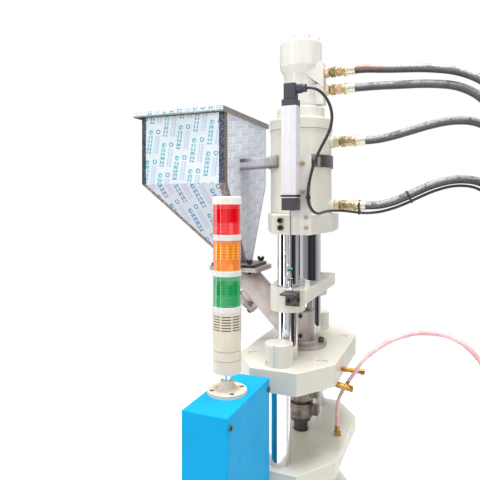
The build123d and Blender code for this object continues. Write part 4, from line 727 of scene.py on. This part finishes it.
def node_tree(name, **sockets):
    """A tree of Geometry Nodes: its inputs with a Finish, a function that adds a node, one that ends it."""
    tree = bpy.data.node_groups.new(name, "GeometryNodeTree")
    tree.interface.new_socket("Shape", in_out="OUTPUT", socket_type="NodeSocketGeometry")
    for label, kind in {**sockets, "Finish": "Material"}.items():
        tree.interface.new_socket(label, in_out="INPUT", socket_type=f"NodeSocket{kind}")
    enter = tree.nodes.new("NodeGroupInput").outputs
    leave = tree.nodes.new("NodeGroupOutput")

    def add(kind, inputs, **settings):
        return add_node(tree, kind, inputs, **settings).outputs[0]

    def close(shape):
        solid = add("GeometryNodeRealizeInstances", {"Geometry": shape})
        finished = add("GeometryNodeSetMaterial", {"Geometry": solid, "Material": enter["Finish"]})
        tree.links.new(finished, leave.inputs[0])
        return tree

    return enter, add, close


def grown(name, tree, place, axis, **values):
    """The plain mesh that a tree makes, put at its place with its Z along the axis."""
    maker = in_scene(name, bpy.data.meshes.new(name + "_start"))
    modifier = maker.modifiers.new("grow", "NODES")
    modifier.node_group = tree
    for socket in tree.interface.items_tree:
        if socket.in_out == "INPUT":
            modifier[socket.identifier] = values[socket.name]
    mesh = bpy.data.meshes.new_from_object(maker.evaluated_get(bpy.context.evaluated_depsgraph_get()))
    bpy.data.objects.remove(maker)
    mesh.name = name
    mesh.transform(Matrix.Translation(place) @ turned_to(axis))
    return mesh


def bead_tree():
    """Rings of round section, one above the other: crimps, threads, seams and wiper lips."""
    enter, add, close = node_tree("bead_rings", Radius="Float", Bead="Float", Pitch="Float", Count="Int")
    ring = add("GeometryNodeCurvePrimitiveCircle", {"Resolution": 64, "Radius": enter["Radius"]})
    section = add("GeometryNodeCurvePrimitiveCircle", {"Resolution": 8, "Radius": enter["Bead"]})
    bead = add("GeometryNodeCurveToMesh", {"Curve": ring, "Profile Curve": section})
    step = add("ShaderNodeCombineXYZ", {"Z": enter["Pitch"]})
    row = add("GeometryNodeMeshLine", {"Count": enter["Count"], "Offset": step})
    return close(add("GeometryNodeInstanceOnPoints", {"Points": row, "Instance": bead}))


def lamp_grid_tree():
    """Rows of small round lamps on a drum."""
    enter, add, close = node_tree(
        "lamp_grid", Radius="Float", Lamp="Float", Pitch="Float", Rows="Int", Around="Int"
    )
    lamp = add("GeometryNodeMeshIcoSphere", {"Radius": enter["Lamp"], "Subdivisions": 2})
    circle = add("GeometryNodeMeshCircle", {"Vertices": enter["Around"], "Radius": enter["Radius"]})
    belt = add("GeometryNodeInstanceOnPoints", {"Points": circle, "Instance": lamp})
    step = add("ShaderNodeCombineXYZ", {"Z": enter["Pitch"]})
    row = add("GeometryNodeMeshLine", {"Count": enter["Rows"], "Offset": step})
    return close(add("GeometryNodeInstanceOnPoints", {"Points": row, "Instance": belt}))


def screw_head_tree():
    """Pan heads, narrower at the top, in a row."""
    enter, add, close = node_tree("screw_heads", Radius="Float", Height="Float", Spacing="Float", Count="Int")
    top = add("ShaderNodeMath", {0: enter["Radius"], 1: 0.72}, operation="MULTIPLY")
    cone = {"Vertices": 32, "Radius Top": top, "Radius Bottom": enter["Radius"], "Depth": enter["Height"]}
    pan = add("GeometryNodeMeshCone", cone)
    step = add("ShaderNodeCombineXYZ", {"Y": enter["Spacing"]})
    row = add("GeometryNodeMeshLine", {"Count": enter["Count"], "Offset": step})
    return close(add("GeometryNodeInstanceOnPoints", {"Points": row, "Instance": pan}))


def screw_circle_tree():
    """Cap heads spaced evenly round a bolt circle."""
    enter, add, close = node_tree("screw_circle", Circle="Float", Radius="Float", Height="Float", Count="Int")
    drum = {"Vertices": 32, "Radius": enter["Radius"], "Depth": enter["Height"]}
    head = add("GeometryNodeMeshCylinder", drum)
    circle = add("GeometryNodeMeshCircle", {"Vertices": enter["Count"], "Radius": enter["Circle"]})
    return close(add("GeometryNodeInstanceOnPoints", {"Points": circle, "Instance": head}))


beads, lamp_grid = bead_tree(), lamp_grid_tree()
screw_heads, screw_circle = screw_head_tree(), screw_circle_tree()


def bead_mesh(name, place, axis, radius, bead, pitch, count, material):
    sizes = {"Radius": radius, "Bead": bead, "Pitch": pitch, "Count": count}
    return grown(name, beads, place, axis, **sizes, Finish=material)


def rings(name, place, radius, bead, material, body="frame", pitch=0.001, count=1):
    """Beads of this thickness round a vertical axis, as a piece."""
    mesh = bead_mesh(name, place, up_axis, radius, bead, pitch, count, material)
    return finish_piece(name, mesh, None, body, smooth=60)


def joined(name, meshes):
    """One mesh from several, which are then dropped."""
    whole = bmesh.new()
    for mesh in meshes:
        whole.from_mesh(mesh)
        bpy.data.meshes.remove(mesh)
    mesh = bpy.data.meshes.new(name)
    whole.to_mesh(mesh)
    whole.free()
    return mesh


def hose_ends():
    """Plated swivel fittings: nut, thread, two hexagons, collar, and the crimped ferrule on each hose end."""

    def hexagon(radius, start, end):
        chamfer = 0.0016
        return ((0, start), (radius - chamfer, start), (radius, start + chamfer), (radius, end - chamfer),
                (radius - chamfer, end), (0, end))

    plate = fitting_plate("plated_fittings")
    stem = ((0, 0.0105), (0.0078, 0.0105), (0.0078, 0.0150), (0, 0.0150))
    shoulder = ((0, 0.0265), (0.0094, 0.0265), (0.0094, 0.0300), (0, 0.0300))
    ferrule = (
        (0, 0.0405), (0.0090, 0.0405), (0.0090, 0.0435), (0.0118, 0.0442), (0.0128, 0.0455), (0.0128, 0.0482),
        (0.0116, 0.0500), (0.0108, 0.0515), (0.0108, 0.0685), (0.0102, 0.0700), (0, 0.0700),
    )
    turned = (
        (hexagon(0.0125, 0, 0.011), 6), (stem, 32), (hexagon(0.0125, 0.014, 0.027), 6), (shoulder, 32),
        (hexagon(0.0114, 0.0285, 0.0415), 6), (ferrule, 48),
    )
    crimps, thread = (0.0540, 0.01065, 0.0005, 0.0040, 4), (0.0112, 0.0079, 0.0005, 0.0013, 3)
    places = [rise(face, 0, height) for face, height in upper_ports]
    places += [Vector((manifold_face, (k - 1.5) * manifold_pitch, manifold_level)) for k in range(4)]
    meshes = []
    for place in places:
        meshes += [turned_mesh("turned", profile, place, right_axis, sides) for profile, sides in turned]
        for start, *sizes in (crimps, thread):
            meshes.append(bead_mesh("beads", place + right_axis * start, right_axis, *sizes, plate))
    piece = finish_piece("swivel_fittings", joined("swivel_fittings", meshes), plate, smooth=28)
    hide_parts("hose_fittings")


def cylinder_details():
    """Seams between the stacked housings, wiper lips on the rods, and the thread of the sensor's rod."""
    seams = (("cap_seam", 500, 0.0712), ("adapter_seam", 525.5, 0.0551), ("head_seam", 308, 0.0711))
    for name, height, radius in seams:
        rings(name, rise(0, 0, height), radius, 0.0006, seam_brown)
    low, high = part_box("guide_rods")
    rod_radius = (high[0] - low[0]) / 2
    cross_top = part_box("crosshead")[1][2]
    for name, y in (("front", low[1] + rod_radius), ("rear", high[1] - rod_radius)):
        place = Vector((middle_of(low, high)[0], y, cross_top))
        rings(f"wiper_{name}", place, rod_radius + 0.0009, 0.0008, wiper_black, "injection_unit")
    low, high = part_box("sensor_rod")
    thread_foot = Vector((*middle_of(low, high), low[2] + 0.020))
    rings("rod_thread", thread_foot, 0.0025, 0.0004, steel, "injection_unit", pitch=0.0012, count=16)


def plate_screws():
    """Brass pan heads over the plain ones on the sensor's plate, and the screws in the tower's foot in matt
    black, which also stands in as painted shade for their holes.
    """
    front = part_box("sensor_plate")[0][1] - 0.0022
    pairs = (("upper", 46.4, 355, 57.5, 0.0046, screw_brass), ("lower", 53.2, 281, 21.5, 0.0042, screw_cream))
    for name, x, height, spacing, radius, finish in pairs:
        place = rise(x, 0, height)
        place.y = front
        heads = grown(f"pan_heads_{name}", screw_heads, Vector(), up_axis, Radius=radius, Height=0.0026,
                      Spacing=spacing / 1000, Count=2, Finish=finish)
        heads.transform(Matrix.Translation(place) @ Matrix.Rotation(radians(90), 4, "X"))
        finish_piece(f"pan_heads_{name}", heads, None)
    place = Vector((*tower_middle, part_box("tower_foot")[0][2] + 0.0035))
    # The foot's screws take matt black rubber: their own dark colour, and also painted shade for the holes
    # they sit in.
    mesh = grown("foot_screws", screw_circle, Vector(), up_axis, Circle=0.028, Radius=0.0043, Height=0.004,
                 Count=4, Finish=wiper_black)
    mesh.transform(Matrix.Translation(place) @ Matrix.Rotation(radians(43), 4, "Z"))
    finish_piece("foot_screws", mesh, None)


def band_bolt():
    """The bolt and nut that draw the band's two lugs together."""
    turn, reach, height = radians(-52), 83.5, 422
    centre = rise(reach * cos(turn), reach * sin(turn), height)
    across = Vector((-sin(turn), cos(turn), 0))
    shank = (
        (0, -0.012), (0.0052, -0.012), (0.0052, -0.0082), (0.003, -0.0082), (0.003, 0.0082),
        (0.0054, 0.0082), (0.0054, 0.0125), (0.0036, 0.0125), (0.003, 0.016), (0, 0.016),
    )
    finish_piece("band_bolt", turned_mesh("band_bolt", shank, centre, across, segments=6), oxide, smooth=20)


def scale_tie():
    """A black tie round the sensor's body, with its locking head towards the lead."""
    low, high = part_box("sensor_body")
    level = head_top + 0.346
    gap, wall, half, corner = 0.0002, 0.0011, 0.0019, 0.002
    left, right, front, rear = low[0] + corner, high[0] - corner, low[1] + corner, high[1] - corner
    corners = ((right, rear, 0), (left, rear, 90), (left, front, 180), (right, front, 270))
    tie = bmesh.new()
    loops = []
    for away, lift in ((gap, -half), (wall, -half), (wall, half), (gap, half)):
        points = []
        for x, y, start in corners:
            for k in range(5):
                angle = radians(start + 22.5 * k)
                reach = corner + away
                points.append(tie.verts.new((x + reach * cos(angle), y + reach * sin(angle), level + lift)))
        loops.append(points)
    count = len(loops[0])
    for one, other in zip(loops, loops[1:] + loops[:1]):
        for k in range(count):
            tie.faces.new((one[k], one[(k + 1) % count], other[(k + 1) % count], other[k]))
    head = bmesh.ops.create_cube(tie, size=1)["verts"]
    bmesh.ops.scale(tie, vec=(0.0055, 0.004, 0.0052), verts=head)
    bmesh.ops.translate(tie, vec=(high[0] + 0.0022, low[1] + 0.006, level), verts=head)
    bmesh.ops.recalc_face_normals(tie, faces=tie.faces)
    mesh = bpy.data.meshes.new("scale_tie")
    tie.to_mesh(mesh)
    tie.free()
    finish_piece("scale_tie", mesh, wiper_black, smooth=30)


def lenses():
    """The three coloured lenses: shells in place of the plain ones, each with its drum and lamps inside."""
    tints = {
        "green": (srgb(0, 156, 84), srgb(0, 122, 62), 0.10),
        "amber": (srgb(240, 132, 2), srgb(214, 92, 0), 0.75),
        "red": (srgb(238, 4, 22), srgb(196, 0, 14), 0.0),
    }
    for tint, (colour, deep, lamp_level) in tints.items():
        low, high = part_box(f"tower_lens_{tint}")
        middle = Vector((*middle_of(low, high), low[2]))
        radius, height = (high[0] - low[0]) / 2, high[2] - low[2]
        lip, wall = 0.0012, 0.0016
        inside, waist = radius - wall, radius - 0.0004
        outline = [
            (inside, 0), (radius, 0), (radius, lip), (waist, lip * 2), (waist, height - lip * 2),
            (radius, height - lip), (radius, height), (inside, height), (inside, 0),
        ]
        shell = turned_mesh(f"lens_{tint}", outline, middle, segments=96)
        glass = tower_lens(f"lens_{tint}", colour, deep, lamp_level, middle, low[2], height)
        piece = finish_piece(f"lens_{tint}", shell, glass)
        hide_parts(f"tower_lens_{tint}")
        drum = lamp_core(f"core_{tint}", colour)
        wide, narrow = 0.0206, 0.0190
        steps = [(0, 0), (wide, 0), (wide, height * 0.38), (narrow, height * 0.40), (narrow, height * 0.84),
                 (wide, height * 0.86), (wide, height), (0, height)]
        finish_piece(f"lens_core_{tint}", turned_mesh(f"core_{tint}", steps, middle, segments=48), drum)
        lowest_row = middle + up_axis * height * 0.46
        lamps = grown(f"lens_lamps_{tint}", lamp_grid, lowest_row, up_axis, Radius=0.0198, Lamp=0.0019,
                      Pitch=height * 0.085, Rows=5, Around=12, Finish=drum)
        finish_piece(f"lens_lamps_{tint}", lamps, None)


hose_ends()
cylinder_details()
plate_screws()
band_bolt()
scale_tie()
lenses()


def lay_floor():
    """A pale floor that turns white towards its edge."""
    ground = bpy.data.meshes.new("floor")
    reach = 2.4
    corners = [(-reach, -reach, 0), (reach, -reach, 0), (reach, reach, 0), (-reach, reach, 0)]
    ground.from_pydata(corners, [], [(0, 1, 2, 3)])
    floor = in_scene("floor", ground)
    pale = Finish("floor_white", Base_Color=(0.86, 0.86, 0.86, 1), Roughness=0.8)
    away = pale.add("ShaderNodeVectorMath", {0: pale.place}, operation="LENGTH").outputs["Value"]
    seen = pale.add("ShaderNodeLightPath").outputs["Is Camera Ray"]
    glow = pale.product(seen, pale.range(away, 0.5, 1.9, 0.30, 1.0))
    pale.set(Emission_Color=(1, 1, 1, 1), Emission_Strength=glow)
    ground.materials.append(pale.material)


def studio_world():
    """White to the eye, dimmer as light, and light and dark panels round about for shiny metal to mirror."""
    world = bpy.data.worlds.new("studio")
    bpy.context.scene.world = world
    world.use_nodes = True
    tree = world.node_tree
    backdrop = tree.nodes["Background"]

    def add(kind, inputs=None, **settings):
        return add_node(tree, kind, inputs, **settings)

    def mixed(factor, one, other):
        return add("ShaderNodeMix", {0: factor, 6: one, 7: other}, data_type="RGBA").outputs[2]

    def faded(value, low, high):
        return add("ShaderNodeMapRange", {"Value": value, "From Min": low, "From Max": high}).outputs[0]

    def either(one, other):
        return add("ShaderNodeMath", {0: one, 1: other}, operation="MAXIMUM").outputs[0]

    x, y, z = add("ShaderNodeSeparateXYZ", {0: add("ShaderNodeTexCoord").outputs["Generated"]}).outputs
    bearing = add("ShaderNodeMath", {0: x, 1: y}, operation="ARCTAN2").outputs[0]
    panels = add("ShaderNodeValToRGB", {0: faded(bearing, -pi, pi)})
    ramp = panels.color_ramp
    for end, position in enumerate((0.0, 1.0)):
        ramp.elements[end].position, ramp.elements[end].color = position, (0.62, 0.62, 0.66, 1)
    bands = (
        (0.030, 0.62), (0.040, 0.20), (0.070, 0.10), (0.080, 0.02), (0.185, 0.02), (0.200, 1.0),
        (0.305, 1.0), (0.320, 0.42), (0.450, 0.50), (0.560, 0.60), (0.680, 0.30), (0.695, 0.03),
        (0.830, 0.03), (0.850, 0.25), (0.915, 0.30), (0.930, 0.62),
    )
    for position, level in bands:
        stop = ramp.elements.new(position)
        stop.color = (level, level, level * 1.05, 1)
    lit = mixed(faded(z, 0.35, 0.6), panels.outputs[0], (0.95, 0.95, 0.96, 1))
    lit = mixed(faded(z, -0.45, -0.7), lit, (0.16, 0.16, 0.18, 1))
    path = add("ShaderNodeLightPath").outputs
    tree.links.new(mixed(path["Is Glossy Ray"], (1, 1, 1, 1), lit), backdrop.inputs["Color"])
    straight = either(either(path["Is Camera Ray"], path["Is Glossy Ray"]), path["Is Transmission Ray"])
    strength = add("ShaderNodeMapRange", {"Value": straight, "To Min": 0.52, "To Max": 1.0}).outputs[0]
    tree.links.new(strength, backdrop.inputs["Strength"])


def hang_lamps():
    """Soft lamps: their place, what they point at, watts, width and height."""
    lamps = (
        ("key", (-1.9, -2.8, 2.6), (0, 0, 0.9), 23, 1.6, 1.6),
        ("strip", (-1.15, -2.35, 1.1), (0, 0, 1.05), 8, 0.11, 2.1),
        ("side_strip", (-2.45, -0.8, 1.1), (0, -0.2, 1.05), 8, 0.18, 2.1),
        ("fill", (2.3, -1.6, 1.9), (0, 0, 0.9), 14, 1.6, 1.6),
        ("top", (0.2, -0.2, 4.8), (0, 0, 0.9), 235, 2.2, 2.2),
    )
    for name, place, aim, power, width, height in lamps:
        lamp = bpy.data.lights.new(name, "AREA")
        lamp.shape = "RECTANGLE"
        lamp.energy, lamp.size, lamp.size_y = power, width, height
        holder = in_scene(name, lamp)
        holder.location = place
        holder.rotation_euler = (Vector(aim) - Vector(place)).to_track_quat("-Z", "Y").to_euler()


def set_camera():
    """The camera of the photograph: level, with its lens shifted down."""
    camera = bpy.data.cameras.new("camera")
    camera.sensor_width = 36
    camera.lens = 36.352
    camera.shift_y = -0.0776
    camera.clip_start, camera.clip_end = 0.05, 60
    eye = in_scene("camera", camera)
    eye.location = (0.32133, -1.10802, head_top + 0.33235)
    eye.rotation_euler = (radians(90), 0, radians(23.33))
    bpy.context.scene.camera = eye
    bpy.context.scene.view_settings.view_transform = "Standard"


lay_floor()
studio_world()
hang_lamps()
set_camera()
